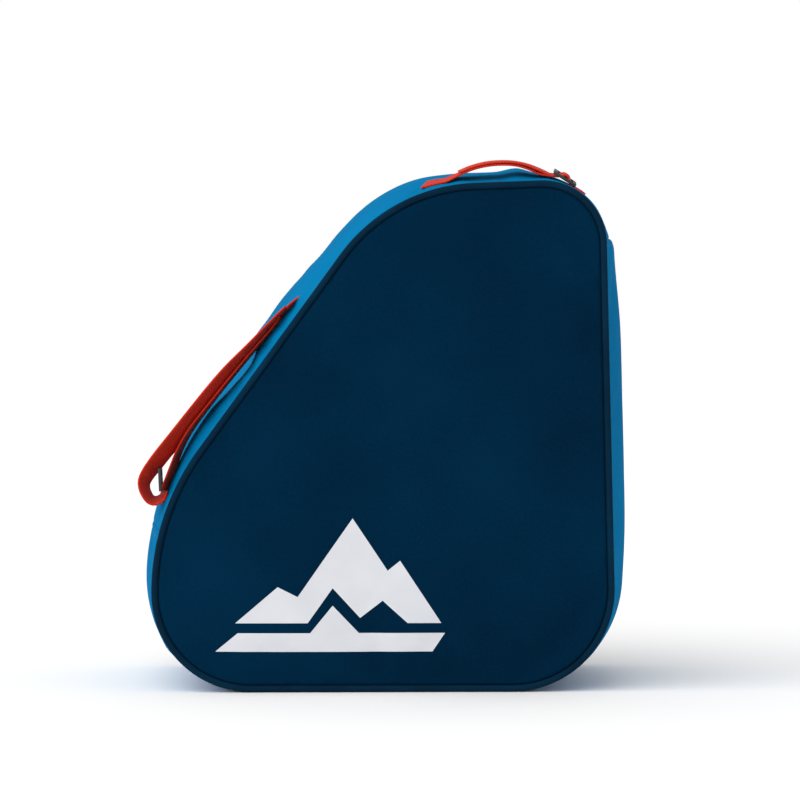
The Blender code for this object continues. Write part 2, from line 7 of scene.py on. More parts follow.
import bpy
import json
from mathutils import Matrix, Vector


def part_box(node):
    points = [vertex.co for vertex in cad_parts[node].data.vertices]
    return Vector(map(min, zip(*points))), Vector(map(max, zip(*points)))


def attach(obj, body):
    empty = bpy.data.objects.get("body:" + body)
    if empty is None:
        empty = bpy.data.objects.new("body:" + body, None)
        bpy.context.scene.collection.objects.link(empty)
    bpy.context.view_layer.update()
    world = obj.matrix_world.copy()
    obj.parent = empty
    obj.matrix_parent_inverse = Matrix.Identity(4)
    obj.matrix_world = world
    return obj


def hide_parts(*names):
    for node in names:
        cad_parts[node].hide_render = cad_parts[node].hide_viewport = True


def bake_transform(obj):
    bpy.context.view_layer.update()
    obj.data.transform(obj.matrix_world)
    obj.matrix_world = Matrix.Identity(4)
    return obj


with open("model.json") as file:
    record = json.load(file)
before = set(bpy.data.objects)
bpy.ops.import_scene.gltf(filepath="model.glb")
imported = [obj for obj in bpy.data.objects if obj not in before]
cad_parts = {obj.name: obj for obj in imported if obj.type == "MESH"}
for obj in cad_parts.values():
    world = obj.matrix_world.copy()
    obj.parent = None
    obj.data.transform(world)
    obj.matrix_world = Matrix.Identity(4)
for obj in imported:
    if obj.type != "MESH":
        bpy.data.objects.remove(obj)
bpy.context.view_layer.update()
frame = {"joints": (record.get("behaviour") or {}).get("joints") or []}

import json
import math

import bpy
import numpy as np
from mathutils import Matrix, Vector, noise
from mathutils.bvhtree import BVHTree
from mathutils.geometry import delaunay_2d_cdt

MM = 0.001

# The panels' outline, to the outer edge of the piping: x, z and rounding radius, counter-clockwise.
PANEL_CORNERS = (
    (-0.1875, 0.0000, 0.080),
    (0.1867, 0.0000, 0.082),
    (0.1768, 0.4125, 0.052),
    (0.0038, 0.4059, 0.140),
    (-0.1875, 0.1434, 0.196),
)
ARC_STEP = math.radians(1.5)
HALF_DEPTH = 0.120
GUSSET_HALF = 0.115
BULGE_POWER = 2.2
LEFT_SEAM_AT, RIGHT_SEAM_AT = (-0.1870, 0.131), (0.1780, 0.363)
# How far the gusset's middle swells past the outline, at places round it: x, z, swell.
SWELLS = (
    (-0.184, 0.118, 0.0072),
    (-0.187, 0.095, 0.0066),
    (-0.187, 0.072, 0.0048),
    (-0.176, 0.038, 0.0020),
    (-0.145, 0.009, 0.0),
    (0.143, 0.009, 0.0),
    (0.175, 0.040, 0.0060),
    (0.184, 0.080, 0.0110),
    (0.183, 0.150, 0.0146),
    (0.181, 0.230, 0.0152),
    (0.180, 0.290, 0.0142),
    (0.1785, 0.343, 0.0110),
    (0.178, 0.3625, 0.0095),
    (0.1775, 0.368, 0.0055),
    (0.162, 0.397, 0.0034),
    (0.1245, 0.4105, 0.0068),
    (0.109, 0.410, 0.0118),
    (0.092, 0.4093, 0.0086),
    (0.057, 0.4072, 0.0092),
    (0.030, 0.400, 0.0122),
    (-0.001, 0.385, 0.0118),
    (-0.030, 0.359, 0.0104),
    (-0.052, 0.330, 0.0130),
    (-0.075, 0.297, 0.0155),
    (-0.110, 0.250, 0.0150),
    (-0.144, 0.203, 0.0140),
    (-0.162, 0.1765, 0.0098),
    (-0.181, 0.130, 0.0078),
)

FABRIC_THICK = 1.6 * MM
PIPING_RADIUS, PIPING_INSET, PIPING_Y = 2.7 * MM, 3.0 * MM, 0.118
# A panel's loops of points, from its turned edge under the piping inwards.
PANEL_LOOPS = (0.0046, 0.0053, 0.0062, 0.0076, 0.0102, 0.0145)
PANEL_TURN, PANEL_CROWN = 3.4 * MM, 3.4 * MM
PANEL_SPACING = 7.5 * MM
# The gusset's outermost rows tuck under the piping: depth, and how far they dip.
TUCK = ((0.1160, 2.6 * MM), (0.1154, 1.2 * MM), (0.1144, 0.35 * MM), (0.1120, 0.0))
LAP, LAP_DEPTH = 4.5 * MM, 2.2 * MM  # the zipped strips run on under the lower length at its two ends
# How far the front strip sinks under the side strap, baring the black tape as painted shade.
SLACK_DEPTH = 5.0 * MM

ZIP_Y = 0.012
# The binding's section: millimetres off the outline, and from the bag's middle; then the reach round it.
BINDING_SECTION = (
    *((-6.6, 115.2), (-6.2, 115.8), (-6.6, 116.4), (-9.0, 116.6), (-12.5, 116.6)),
    *((-14.6, 116.4), (-15.0, 115.8), (-14.6, 115.2), (-12.5, 115.0), (-9.0, 115.0)),
)
BINDING_REACH = (0.0, 1.0, 2.0, 4.4, 7.9, 10.0, 11.0, 12.0, 14.1, 17.6, 20.0)
TAPE_SHOWS = 0.006
# A tape's section: millimetres from the zip's middle, and above the gusset's face; then the reach round it.
TAPE_SECTION = ((0.5, -2.5), (3.6, -2.3), (8.0, -2.5), (13.6, -2.5), (14.0, -2.9), (13.6, -3.4), (0.5, -3.4))
TAPE_REACH = (0.0, 3.1, 7.5, 13.1, 13.6, 14.2, 27.0, 28.0)
TOOTH_PITCH, TOOTH_RADIUS = 1.75 * MM, 0.55 * MM
SEAM_SPLIT = 0.8 * MM

WEB_WIDTH, WEB_THICK, WEB_Y = 0.025, 1.6 * MM, -0.095
INNER_SHIFT = 8.0 * MM  # the strap's inner run lies a little further back than its outer one
SLANTED_ROWS = 12  # rows of webbing over which a slanted end fades out
ADJUSTER_ROLL = 6.0  # degrees that the handle's adjuster leans towards the front
STITCH_PITCH, STITCH_LENGTH, STITCH_RADIUS = 3.4 * MM, 2.5 * MM, 0.32 * MM

CLOTH_PITCH = 1.15 * MM  # between threads of the oxford cloth, twice as coarse as real
CHEVRON_COLUMN = 4.0 * MM
SKY_LEFT_RIGHT = (0.96, 0.56)

SLOPE_ORIGIN = Vector((-0.0360, 0.0, 0.3512))
PIVOT_HEIGHT = 0.0042  # of a zip pull's hinge, off the gusset's face


def joint(name):
    return next(found for found in frame["joints"] if found["name"] == name)


SLOPE_DOWN = Vector(joint("slider_lower_slide")["axis"])
SLOPE_OUT = Vector((SLOPE_DOWN.z, 0.0, -SLOPE_DOWN.x))


# ---------------------------------------------------------------- stage


def make_stage():
    """A long-lens camera low in front, a white sweep, and soft light from the upper left."""
    target = Vector((0.012, -HALF_DEPTH, 0.2345))
    azimuth, elevation, distance, view_width = math.radians(-1.3), math.radians(1.8), 3.40, 0.640
    level = math.cos(elevation)
    back = Vector((math.sin(azimuth) * level, -math.cos(azimuth) * level, math.sin(elevation)))
    lens = bpy.data.cameras.new("camera")
    lens.sensor_width = 36.0
    lens.lens = lens.sensor_width * distance / view_width
    lens.clip_end = 50.0
    camera = bpy.data.objects.new("camera", lens)
    camera.location = target + back * distance
    camera.rotation_mode = "QUATERNION"
    camera.rotation_quaternion = (-back).to_track_quat("-Z", "Y")
    bpy.context.scene.collection.objects.link(camera)
    bpy.context.scene.camera = camera

    bpy.ops.object.select_all(action="DESELECT")
    bpy.ops.mesh.primitive_plane_add(size=16.0, location=(0.0, 0.0, 0.0))
    floor = bpy.context.object
    floor.name = "studio_floor"
    floor.data.materials.append(plain_white())

    make_sky()
    bpy.context.scene.view_settings.view_transform = "Standard"
    sun = bpy.data.lights.new("window_light", "SUN")
    sun.energy = 1.6
    sun.angle = math.radians(70.0)
    lamp = bpy.data.objects.new("window_light", sun)
    lamp.rotation_euler = Vector((0.50, 0.58, -0.70)).to_track_quat("-Z", "Y").to_euler()
    bpy.context.scene.collection.objects.link(lamp)


def make_sky():
    """White all round, dimmer as a source of light, and dimmest on the right."""
    world = bpy.data.worlds.new("studio")
    bpy.context.scene.world = world
    world.use_nodes = True
    tree = world.node_tree
    ground = tree.nodes["Background"]
    direction = put(tree, "TexCoord").outputs["Generated"]
    sideways = put(tree, "SeparateXYZ", [direction])
    dim = put(tree, "MapRange", [sideways, -1.0, 1.0, *SKY_LEFT_RIGHT])
    seen = put(tree, "LightPath").outputs["Is Camera Ray"]
    tree.links.new(put(tree, "Math", [dim, seen], operation="MAXIMUM").outputs[0], ground.inputs["Strength"])
    ground.inputs["Color"].default_value = (1.0, 1.0, 1.0, 1.0)


# ---------------------------------------------------------------- materials


def colour(hex_value):
    """An sRGB hex value as linear red, green and blue, with full alpha."""
    parts = [int(hex_value[i : i + 2], 16) / 255.0 for i in (1, 3, 5)]
    return (*[p / 12.92 if p <= 0.04045 else ((p + 0.055) / 1.055) ** 2.4 for p in parts], 1.0)


def put(tree, kind, inputs=(), **settings):
    """Adds a node with its settings and links: an input is a value, or a node or socket it is linked from."""
    made = tree.nodes.new(f"ShaderNode{kind}")
    for name, value in settings.items():
        setattr(made, name, value)
    for key, value in inputs.items() if isinstance(inputs, dict) else enumerate(inputs):
        if isinstance(value, bpy.types.Node):
            value = value.outputs[0]
        if isinstance(value, bpy.types.NodeSocket):
            tree.links.new(value, made.inputs[key])
        else:
            made.inputs[key].default_value = value
    return made


def blank(name, **uniform):
    """A material, its tree and its shader, whose own sockets hold the values that are the same all over."""
    made = bpy.data.materials.new(name)
    made.use_nodes = True
    shader = made.node_tree.nodes["Principled BSDF"]
    for key, value in uniform.items():
        shader.inputs[key.replace("_", " ")].default_value = value
    return made, made.node_tree, shader


def dress(tree, shader, share, deep, lit, height, relief, strength=1.0):
    """Colours a surface from deep to lit by a share, and raises its relief from a height."""
    shade = put(tree, "Mix", {0: share, 6: colour(deep), 7: colour(lit)}, data_type="RGBA")
    tree.links.new(shade.outputs[2], shader.inputs["Base Color"])
    bump = put(tree, "Bump", {"Height": height, "Strength": strength, "Distance": relief})
    tree.links.new(bump.outputs[0], shader.inputs["Normal"])


def crossing_threads(tree, cloth, pitch):
    """A plain weave's height, from 0 to 1: highest where a thread comes over the one it crosses."""
    turned = put(tree, "VectorMath", [cloth, (2.0 * math.pi / pitch,) * 3], operation="MULTIPLY")
    waves = put(tree, "SeparateXYZ", [put(tree, "VectorMath", [turned], operation="SINE")])
    crossed = put(tree, "Math", [waves.outputs[0], waves.outputs[1]], operation="MULTIPLY")
    return put(tree, "Math", [crossed, 0.5, 0.5], operation="MULTIPLY_ADD")


def plain_white():
    """Matt white studio paper: it takes a soft shadow and no shine."""
    made, _, shader = blank("studio_paper", Roughness=1.0)
    shader.inputs["Base Color"].default_value = colour("#fdfdfd")
    return made


def oxford(name, deep, lit, pitch, relief, spots=0.055, gloss=0.02):
    """Woven polyester, coated behind: matt, with painted shade in the gaps between its threads and a painted
    highlight on their crests, faintly uneven dye, and broad lighter and darker patches laid at random.
    """
    made, tree, shader = blank(name, Roughness=0.92, Specular_IOR_Level=gloss)
    cloth = put(tree, "UVMap", uv_map="weave")
    threads = crossing_threads(tree, cloth, pitch)
    slub = put(tree, "TexNoise", {"Vector": cloth, "Scale": 1.0 / (2.2 * pitch), "Detail": 3.0})
    dye = put(tree, "TexNoise", {"Vector": cloth, "Scale": 1.0 / spots, "Detail": 2.0})
    broad_patches = put(tree, "TexNoise", {"Vector": cloth, "Scale": 1.0 / (3.0 * spots), "Detail": 1.0})
    # The threads' crests take the lit tone and the gaps the deep one: painted highlight and painted shade in
    # the weave. The broad patches are lighter and darker at random.
    share = put(tree, "Math", [threads, 0.45, 0.02 - 0.35], operation="MULTIPLY_ADD")
    for spread, part in ((slub, 0.30), (dye, 0.30), (broad_patches, 0.70)):
        share = put(tree, "Math", [spread, part, share], operation="MULTIPLY_ADD")
    height = put(tree, "Math", [slub, 0.6, threads], operation="MULTIPLY_ADD")
    dress(tree, shader, share, deep, lit, height, relief)
    return made


def chevron_webbing(name, deep, lit, rib):
    """Flat polypropylene webbing: slanting ribs in narrow chevron columns, a little waxy at the crests, with a
    painted highlight on each rib and painted shade in the grooves between.
    """
    made, tree, shader = blank(
        name, Roughness=0.62, Sheen_Weight=0.05, Sheen_Roughness=0.4, Specular_IOR_Level=0.06
    )
    cloth = put(tree, "UVMap", uv_map="weave")
    split = put(tree, "SeparateXYZ", [cloth])
    columns = put(tree, "Math", [split.outputs[1], CHEVRON_COLUMN], operation="DIVIDE")
    column = put(tree, "Math", [columns], operation="FRACT")
    centred = put(tree, "Math", [column, 2.0, -1.0], operation="MULTIPLY_ADD")
    slant = put(tree, "Math", [centred], operation="ABSOLUTE")
    phase = put(tree, "Math", [split.outputs[0], 1.0 / rib, slant], operation="MULTIPLY_ADD")
    turned = put(tree, "Math", [phase, 2.0 * math.pi], operation="MULTIPLY")
    waves = put(tree, "Math", [turned], operation="SINE")
    ribs = put(tree, "Math", [waves, 0.5, 0.5], operation="MULTIPLY_ADD")
    groove = put(tree, "Math", [slant, 6.0], operation="POWER")
    height = put(tree, "Math", [groove, -0.5, ribs], operation="MULTIPLY_ADD")
    dye = put(tree, "TexNoise", {"Vector": cloth, "Scale": 1.0 / 0.018, "Detail": 3.0})
    # Each rib's crest takes the lit tone and its groove the deep one: painted highlight and painted shade.
    share = put(tree, "Math", [put(tree, "Math", [ribs, dye], operation="ADD"), 0.5], operation="MULTIPLY")
    dress(tree, shader, share, deep, lit, height, 0.22 * MM)
    return made


def grosgrain(name, deep, lit, rib):
    """Ribbed tape: fine cross ribs that break up the light, dull and nearly black, painted lighter on each rib
    and darker between them as painted highlight and shade.
    """
    made, tree, shader = blank(name, Roughness=0.85, Sheen_Weight=0.04, Specular_IOR_Level=0.25)
    cloth = put(tree, "UVMap", uv_map="weave")
    along = put(tree, "SeparateXYZ", [cloth])
    turned = put(tree, "Math", [along, 2.0 * math.pi / rib], operation="MULTIPLY")
    waves = put(tree, "Math", [turned], operation="SINE")
    height = put(tree, "Math", [waves, 0.5, 0.5], operation="MULTIPLY_ADD")
    dye = put(tree, "TexNoise", {"Vector": cloth, "Scale": 1.0 / 0.01, "Detail": 3.0})
    # The ribs' crests take the lit tone and the hollows the deep one: painted highlight and painted shade.
    share = put(tree, "Math", [put(tree, "Math", [height, dye], operation="ADD"), 0.5], operation="MULTIPLY")
    dress(tree, shader, share, deep, lit, height, 0.15 * MM)
    return made


def grained(name, deep, lit, roughness, grain, relief, **uniform):
    """A moulded, coated or plated surface: fine grain over faint broad patches, and a little uneven gloss."""
    made, tree, shader = blank(name, **uniform)
    where = put(tree, "TexCoord").outputs["Object"]
    fine = put(tree, "TexNoise", {"Vector": where, "Scale": 1.0 / grain, "Detail": 4.0})
    broad = put(tree, "TexNoise", {"Vector": where, "Scale": 1.0 / (18.0 * grain), "Detail": 2.0})
    share = put(tree, "Math", [put(tree, "Math", [fine, broad], operation="ADD"), 0.5], operation="MULTIPLY")
    dress(tree, shader, share, deep, lit, fine, relief)
    uneven = put(tree, "Math", [fine, 0.16, roughness - 0.08], operation="MULTIPLY_ADD")
    tree.links.new(uneven.outputs[0], shader.inputs["Roughness"])
    return made


def silver_ink(name):
    """Silver-white screen print on woven cloth: a satin film that the threads just show through, raised and
    with painted shade in the gaps between them.
    """
    made, tree, shader = blank(name, Roughness=0.42)
    cloth = put(tree, "UVMap", uv_map="weave")
    threads = crossing_threads(tree, cloth, CLOTH_PITCH)
    cloud = put(tree, "TexNoise", {"Vector": cloth, "Scale": 1.0 / 0.035, "Detail": 2.0})
    thinned = put(tree, "Math", [cloud, 0.65], operation="MULTIPLY")
    # The gaps between the threads take the darker tone: painted shade.
    share = put(tree, "Math", [threads, 0.35, thinned], operation="MULTIPLY_ADD")
    dress(tree, shader, share, "#c0c3ca", "#dfe0e4", threads, 0.06 * MM, strength=0.6)
    return made


def make_looks():
    """Every finish of the bag. The weaves are drawn about twice as coarse as real, so that they show."""
    return {
        # Oxford-woven polyester dyed navy: deep and even, its thread crests painted lighter and the gaps
        # between them painted darker, as painted highlight and shade.
        "navy": oxford("navy_oxford_cloth", "#000e1b", "#012f4d", CLOTH_PITCH, 0.16 * MM),
        # The same cloth cut on the bias round a cord: a finer weave, with a soft light along its crest and
        # painted shade between its threads.
        "navy_bias": oxford(
            "navy_bias_piping", "#001120", "#022e47", 0.9 * MM, 0.10 * MM, spots=0.02, gloss=0.08
        ),
        # Oxford-woven polyester dyed sky blue: bright and matt, cloudy where the dye took unevenly, with
        # painted shade between its threads and painted highlight on their crests.
        "blue": oxford("blue_oxford_cloth", "#005f90", "#007fb4", CLOTH_PITCH, 0.16 * MM),
        # The cloth's polyurethane coating, seen inside: charcoal, nearly smooth, with a dim shine.
        "lining": grained("polyurethane_backed_inside", "#141619", "#26292d", 0.55, 1.2 * MM, 0.12 * MM),
        # Screen-printed ink: pale silver, satin against the matt cloth.
        "silver": silver_ink("silver_screen_print"),
        # Woven polypropylene webbing, dyed in the melt: saturated red-orange ribs with dark red between, the
        # dark red painted shade in the grooves.
        "red": chevron_webbing("red_polypropylene_webbing", "#b01b0b", "#de3a22", 2.4 * MM),
        # Woven grosgrain over the raw seams: black cross ribs.
        "binding": grosgrain("black_grosgrain_binding", "#0b0b0d", "#1f2023", 1.1 * MM),
        # Knitted polyester tape: flat black beside the shinier coil; near-black also as painted shade,
        # standing in for the strap's shadow where the tape shows under it.
        "tape": grosgrain("black_zip_tape_and_strap_shade", "#050608", "#111317", 0.9 * MM),
        # Nylon monofilament, formed hot: black, with a thin glint on each tooth.
        "coil": grained("black_nylon_coil", "#0a0a0c", "#1a1b1e", 0.42, 0.8 * MM, 0.03 * MM),
        # Injection-moulded acetal with a spark-eroded grain: satin black.
        "acetal": grained("black_moulded_acetal", "#121315", "#26272a", 0.44, 0.7 * MM, 0.05 * MM),
        # Die-cast zinc with a gunmetal plate: dark metal with soft reflections.
        "zinc": grained(
            "gunmetal_plated_zinc", "#4c4d50", "#77797d", 0.34, 0.9 * MM, 0.02 * MM, Metallic=1.0
        ),
        # Extruded polyethylene sheet with a leather grain: dull dark grey.
        "board": grained("grained_polyethylene_board", "#2b2c2f", "#3c3e42", 0.6, 1.6 * MM, 0.2 * MM),
        # Spun polyester sewing thread: dull, a shade lighter than the cloth that it holds.
        "blue_thread": grained("blue_polyester_thread", "#005f8e", "#0a86bb", 0.7, 0.5 * MM, 0.05 * MM),
    }


# ---------------------------------------------------------------- the outline and the gusset's face


class Outline:
    """A polygon with rounded corners in the XZ plane, read by the length round it."""

    def __init__(self, corners):
        rows = []
        count = len(corners)
        for i, (x, z, radius) in enumerate(corners):
            corner = Vector((x, z))
            before = (corner - Vector(corners[i - 1][:2])).normalized()
            after = (Vector(corners[(i + 1) % count][:2]) - corner).normalized()
            turn = before.angle(after)
            left = Vector((-before.y, before.x))
            centre = corner - before * radius * math.tan(turn / 2.0) + left * radius
            first = math.atan2(-before.x, before.y)
            steps = math.ceil(turn / ARC_STEP)
            for k in range(steps + 1):
                angle = first + turn * k / steps
                normal = Vector((math.cos(angle), math.sin(angle)))
                rows.append((*(centre + normal * radius), *normal))
        rows.append(rows[0])
        self.rows = np.array(rows)
        gaps = np.linalg.norm(np.diff(self.rows[:, :2], axis=0), axis=1)
        self.lengths = np.concatenate([[0.0], np.cumsum(gaps)])
        self.round = self.lengths[-1]

    def at(self, along):
        """x, z and the outward normal's x and z, at these lengths."""
        along = np.asarray(along, float) % self.round
        x, z, nx, nz = (np.interp(along, self.lengths, self.rows[:, k]) for k in range(4))
        size = np.hypot(nx, nz)
        return x, z, nx / size, nz / size

    def near(self, x, z):
        """The length round to the point nearest to this one."""
        samples = np.arange(0.0, self.round, 0.25 * MM)
        sx, sz, _, _ = self.at(samples)
        return float(samples[np.argmin(np.hypot(sx - x, sz - z))])


OUTLINE = Outline(PANEL_CORNERS)
LEFT_SEAM = OUTLINE.near(*LEFT_SEAM_AT)
RIGHT_SEAM = OUTLINE.near(*RIGHT_SEAM_AT)
SWELL_KNOTS = sorted((OUTLINE.near(x, z), swell) for x, z, swell in SWELLS)


def swell_at(along):
    """How far the gusset's middle swells: a smooth curve through the knots, never under the outline."""
    knots = [(place + OUTLINE.round * turn, swell) for turn in (-1, 0, 1) for place, swell in SWELL_KNOTS]
    places, swells = np.array(knots).T
    slopes = np.gradient(swells)
    slopes[1:-1] = (swells[2:] - swells[:-2]) / (places[2:] - places[:-2])
    along = np.asarray(along, float) % OUTLINE.round
    i = np.searchsorted(places, along, side="right") - 1
    gap = places[i + 1] - places[i]
    part = (along - places[i]) / gap
    square, cube = part * part, part**3
    swell = (2.0 * cube - 3.0 * square + 1.0) * swells[i] + (cube - 2.0 * square + part) * slopes[i] * gap
    swell += (3.0 * square - 2.0 * cube) * swells[i + 1] + (cube - square) * slopes[i + 1] * gap
    return np.maximum(swell, 0.0)


def face_height(along, y):
    """Height of the gusset's outer face over the outline."""
    return swell_at(along) * (1.0 - np.minimum(np.abs(np.asarray(y) / GUSSET_HALF), 1.0) ** BULGE_POWER)


def place(along, y, out):
    """Points in space from lengths, depths and heights, which broadcast together."""
    along, y, out = np.broadcast_arrays(np.asarray(along, float), y, out)
    x, z, nx, nz = OUTLINE.at(along)
    return np.stack([x + nx * out, y, z + nz * out], axis=-1)


def on_slope(down, out, y=WEB_Y):
    return SLOPE_ORIGIN + SLOPE_DOWN * down + SLOPE_OUT * out + Vector((0.0, y, 0.0))


# ---------------------------------------------------------------- making meshes


def new_piece(name, points, faces, uvs=None):
    mesh = bpy.data.meshes.new(name)
    mesh.from_pydata([tuple(map(float, p)) for p in points], [], faces)
    if uvs is not None:
        layer = mesh.uv_layers.new(name="weave")
        layer.data.foreach_set("uv", np.asarray(uvs, np.float32).ravel())
    piece = bpy.data.objects.new(name, mesh)
    bpy.context.scene.collection.objects.link(piece)
    return piece


def select_only(piece):
    bpy.ops.object.select_all(action="DESELECT")
    piece.select_set(True)
    bpy.context.view_layer.objects.active = piece


def face_outwards(piece):
    select_only(piece)
    bpy.ops.object.mode_set(mode="EDIT")
    bpy.ops.mesh.select_all(action="SELECT")
    bpy.ops.mesh.normals_make_consistent(inside=False)
    bpy.ops.object.mode_set(mode="OBJECT")


def smooth(piece, degrees=40.0):
    select_only(piece)
    bpy.ops.object.shade_smooth_by_angle(angle=math.radians(degrees))


def finish_modifiers(piece):
    select_only(piece)
    for modifier in list(piece.modifiers):
        bpy.ops.object.modifier_apply(modifier=modifier.name)


def skin(name, points, uv, round_rows=False, round_columns=False, capped=False):
    """A mesh of quads through a grid of points; the uv grid has one more row or column where it closes."""
    points = np.asarray(points, float)
    rows, columns = points.shape[:2]
    faces, uvs = [], []
    for i in range(rows if round_rows else rows - 1):
        for j in range(columns if round_columns else columns - 1):
            below, beside = (i + 1) % rows, (j + 1) % columns
            corners = ((i, j), (below, j), (below, beside), (i, beside))
            faces.append(tuple(row * columns + column for row, column in corners))
            uvs += [uv[i][j], uv[i + 1][j], uv[i + 1][j + 1], uv[i][j + 1]]
    if capped:
        for i in (0, rows - 1):
            faces.append([i * columns + j for j in range(columns)])
            uvs += [uv[i][j] for j in range(columns)]
    piece = new_piece(name, points.reshape(-1, 3), faces, uvs)
    if round_columns:
        face_outwards(piece)
    return piece


def thicken(piece, thick, levels=1):
    """One subdivision, then a second face inwards, with the cloth's inside as its second material."""
    if levels:
        soft = piece.modifiers.new("soft", "SUBSURF")
        soft.levels = soft.render_levels = levels
        soft.boundary_smooth = "PRESERVE_CORNERS"
    wall = piece.modifiers.new("wall", "SOLIDIFY")
    wall.thickness = thick
    wall.offset = -1.0
    wall.use_even_offset = False
    wall.material_offset = 1
    finish_modifiers(piece)
    smooth(piece, 50.0)


def settle(piece, held, ease, pressure, cap, frames=16):
    """Lets the cloth find its own shape, a little larger than cut, with its seams held, and keeps it."""
    before = np.empty(len(piece.data.vertices) * 3, np.float32)
    piece.data.vertices.foreach_get("co", before)
    group = piece.vertex_groups.new(name="seams")
    group.add([int(i) for i in np.flatnonzero(held)], 1.0, "REPLACE")
    cloth = piece.modifiers.new("cloth", "CLOTH")
    settings = cloth.settings
    settings.quality = 5
    settings.mass = 0.25
    settings.tension_stiffness = settings.compression_stiffness = 40.0
    settings.shear_stiffness = 12.0
    settings.bending_stiffness = 1.2
    settings.air_damping = 6.0
    settings.vertex_group_mass = "seams"
    settings.shrink_min = -ease
    settings.use_pressure = True
    settings.uniform_pressure_force = pressure
    settings.effector_weights.gravity = 0.0
    cloth.collision_settings.use_collision = False
    cloth.point_cache.frame_start = 1
    cloth.point_cache.frame_end = frames
    for step in range(1, frames + 1):
        bpy.context.scene.frame_set(step)
    finish_modifiers(piece)
    bpy.context.scene.frame_set(1)
    after = np.empty_like(before)
    piece.data.vertices.foreach_get("co", after)
    before, after = before.reshape(-1, 3), after.reshape(-1, 3)
    move = after - before
    size = np.linalg.norm(move, axis=1, keepdims=True)
    move *= np.tanh(size / cap) * cap / np.maximum(size, 1e-9)
    moved = before + move
    piece.data.vertices.foreach_set("co", moved.ravel())
    piece.data.update()
    piece.vertex_groups.clear()


def tree_of(piece):
    graph = bpy.context.evaluated_depsgraph_get()
    return BVHTree.FromObject(piece, graph)


def bend_with_flap(piece):
    """Bakes the piece's placement into its mesh; the piece stays where it is drawn and does not follow the
    flap.
    """
    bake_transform(piece)


def close_copy(template, matrices, name):
    """One mesh that repeats the template at every matrix; the template is removed."""
    mesh = template.data
    count = len(mesh.vertices)
    base = np.empty(count * 3)
    mesh.vertices.foreach_get("co", base)
    base = np.column_stack([base.reshape(-1, 3), np.ones(count)])
    shape = [tuple(face.vertices) for face in mesh.polygons]
    points, faces = [], []
    for k, matrix in enumerate(matrices):
        points.append((base @ np.array(matrix).T)[:, :3])
        faces += [tuple(v + k * count for v in face) for face in shape]
    bpy.data.objects.remove(template, do_unlink=True)
    piece = new_piece(name, np.concatenate(points), faces)
    smooth(piece, 60.0)
    return piece


def basis(origin, x_axis, y_axis, z_axis):
    made = Matrix((x_axis, y_axis, z_axis)).transposed().to_4x4()
    made.translation = origin
    return made


# ---------------------------------------------------------------- panels, print and piping


def inside_depth(points):
    """How far inside the outline each x, z point lies."""
    samples = np.arange(0.0, OUTLINE.round, 1.0 * MM)
    x, z, _, _ = OUTLINE.at(samples)
    edge = np.column_stack([x, z])
    found = np.empty(len(points))
    for start in range(0, len(points), 400):
        part = points[start : start + 400]
        found[start : start + 400] = np.linalg.norm(part[:, None] - edge[None], axis=2).min(axis=1)
    return found


def panel_points():
    """Loops along the turned edge and a triangular grid inside them, with the edges that the loops hold."""
    count = round(OUTLINE.round / (4.5 * MM))
    x, z, nx, nz = OUTLINE.at(np.arange(count) * OUTLINE.round / count)
    points, edges = [], []
    for inset in PANEL_LOOPS:
        first = len(points)
        points += list(zip(x - nx * inset, z - nz * inset))
        edges += [(first + k, first + (k + 1) % count) for k in range(count)]
    low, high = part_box("front_panel")
    grid = []
    for row, height in enumerate(np.arange(low.z, high.z, PANEL_SPACING * 0.866)):
        shift = PANEL_SPACING / 2.0 * (row % 2)
        grid += [(across + shift, height) for across in np.arange(low.x, high.x, PANEL_SPACING)]
    grid = np.array(grid)
    gx, gz, gnx, gnz = OUTLINE.at([OUTLINE.near(*point) for point in grid])
    inside = (grid[:, 0] - gx) * gnx + (grid[:, 1] - gz) * gnz < -(PANEL_LOOPS[-1] + 4.5 * MM)
    points += [tuple(point) for point in grid[inside]]
    return points, edges


def make_panel(name, side, looks, replaced):
    """A crowned woven panel whose edge turns in under the piping."""
    points, edges = panel_points()
    flat, _, faces, *_ = delaunay_2d_cdt([Vector(p) for p in points], edges, [], 1, 1e-7)
    flat = np.array([tuple(p) for p in flat])
    depth = inside_depth(flat)
    inner = np.maximum(depth - PANEL_LOOPS[0], 0.0)
    out = HALF_DEPTH - PANEL_TURN * np.exp(-inner / (1.5 * MM)) + PANEL_CROWN * (1.0 - np.exp(-inner / 0.05))
    waves = [noise.noise(Vector((p[0] * 11.0, p[1] * 11.0, 3.7 * side))) for p in flat]
    out += 1.0 * MM * np.array(waves) * np.minimum(inner / 0.04, 1.0)
    vertices = np.column_stack([flat[:, 0], side * out, flat[:, 1]])
    faces = [face if side < 0 else face[::-1] for face in faces]
    uvs = [flat[v] for face in faces for v in face]
    piece = new_piece(name, vertices, faces, uvs)
    settle(piece, inner < 2.2 * MM, ease=0.006, pressure=0.25, cap=2.2 * MM)
    piece.data.materials.append(looks["navy"])
    piece.data.materials.append(looks["lining"])
    thicken(piece, 2.0 * MM)
    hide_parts(*replaced)
    return piece


PRINT_RANGE = (
    (-0.1200, 0.0560),
    (-0.0860, 0.0850),
    (-0.0700, 0.0770),
    (-0.0260, 0.1400),
    (0.0020, 0.0980),
    (0.0120, 0.1060),
    (0.0450, 0.0560),
    (0.0180, 0.0560),
    (-0.0020, 0.0740),
    (-0.0200, 0.0600),
    (-0.0420, 0.0840),
    (-0.0620, 0.0560),
)
PRINT_FOOTHILL = (
    (-0.1360, 0.0330),
    (-0.1180, 0.0480),
    (-0.0600, 0.0480),
    (-0.0420, 0.0700),
    (-0.0210, 0.0480),
    (0.0480, 0.0480),
    (0.0380, 0.0330),
)


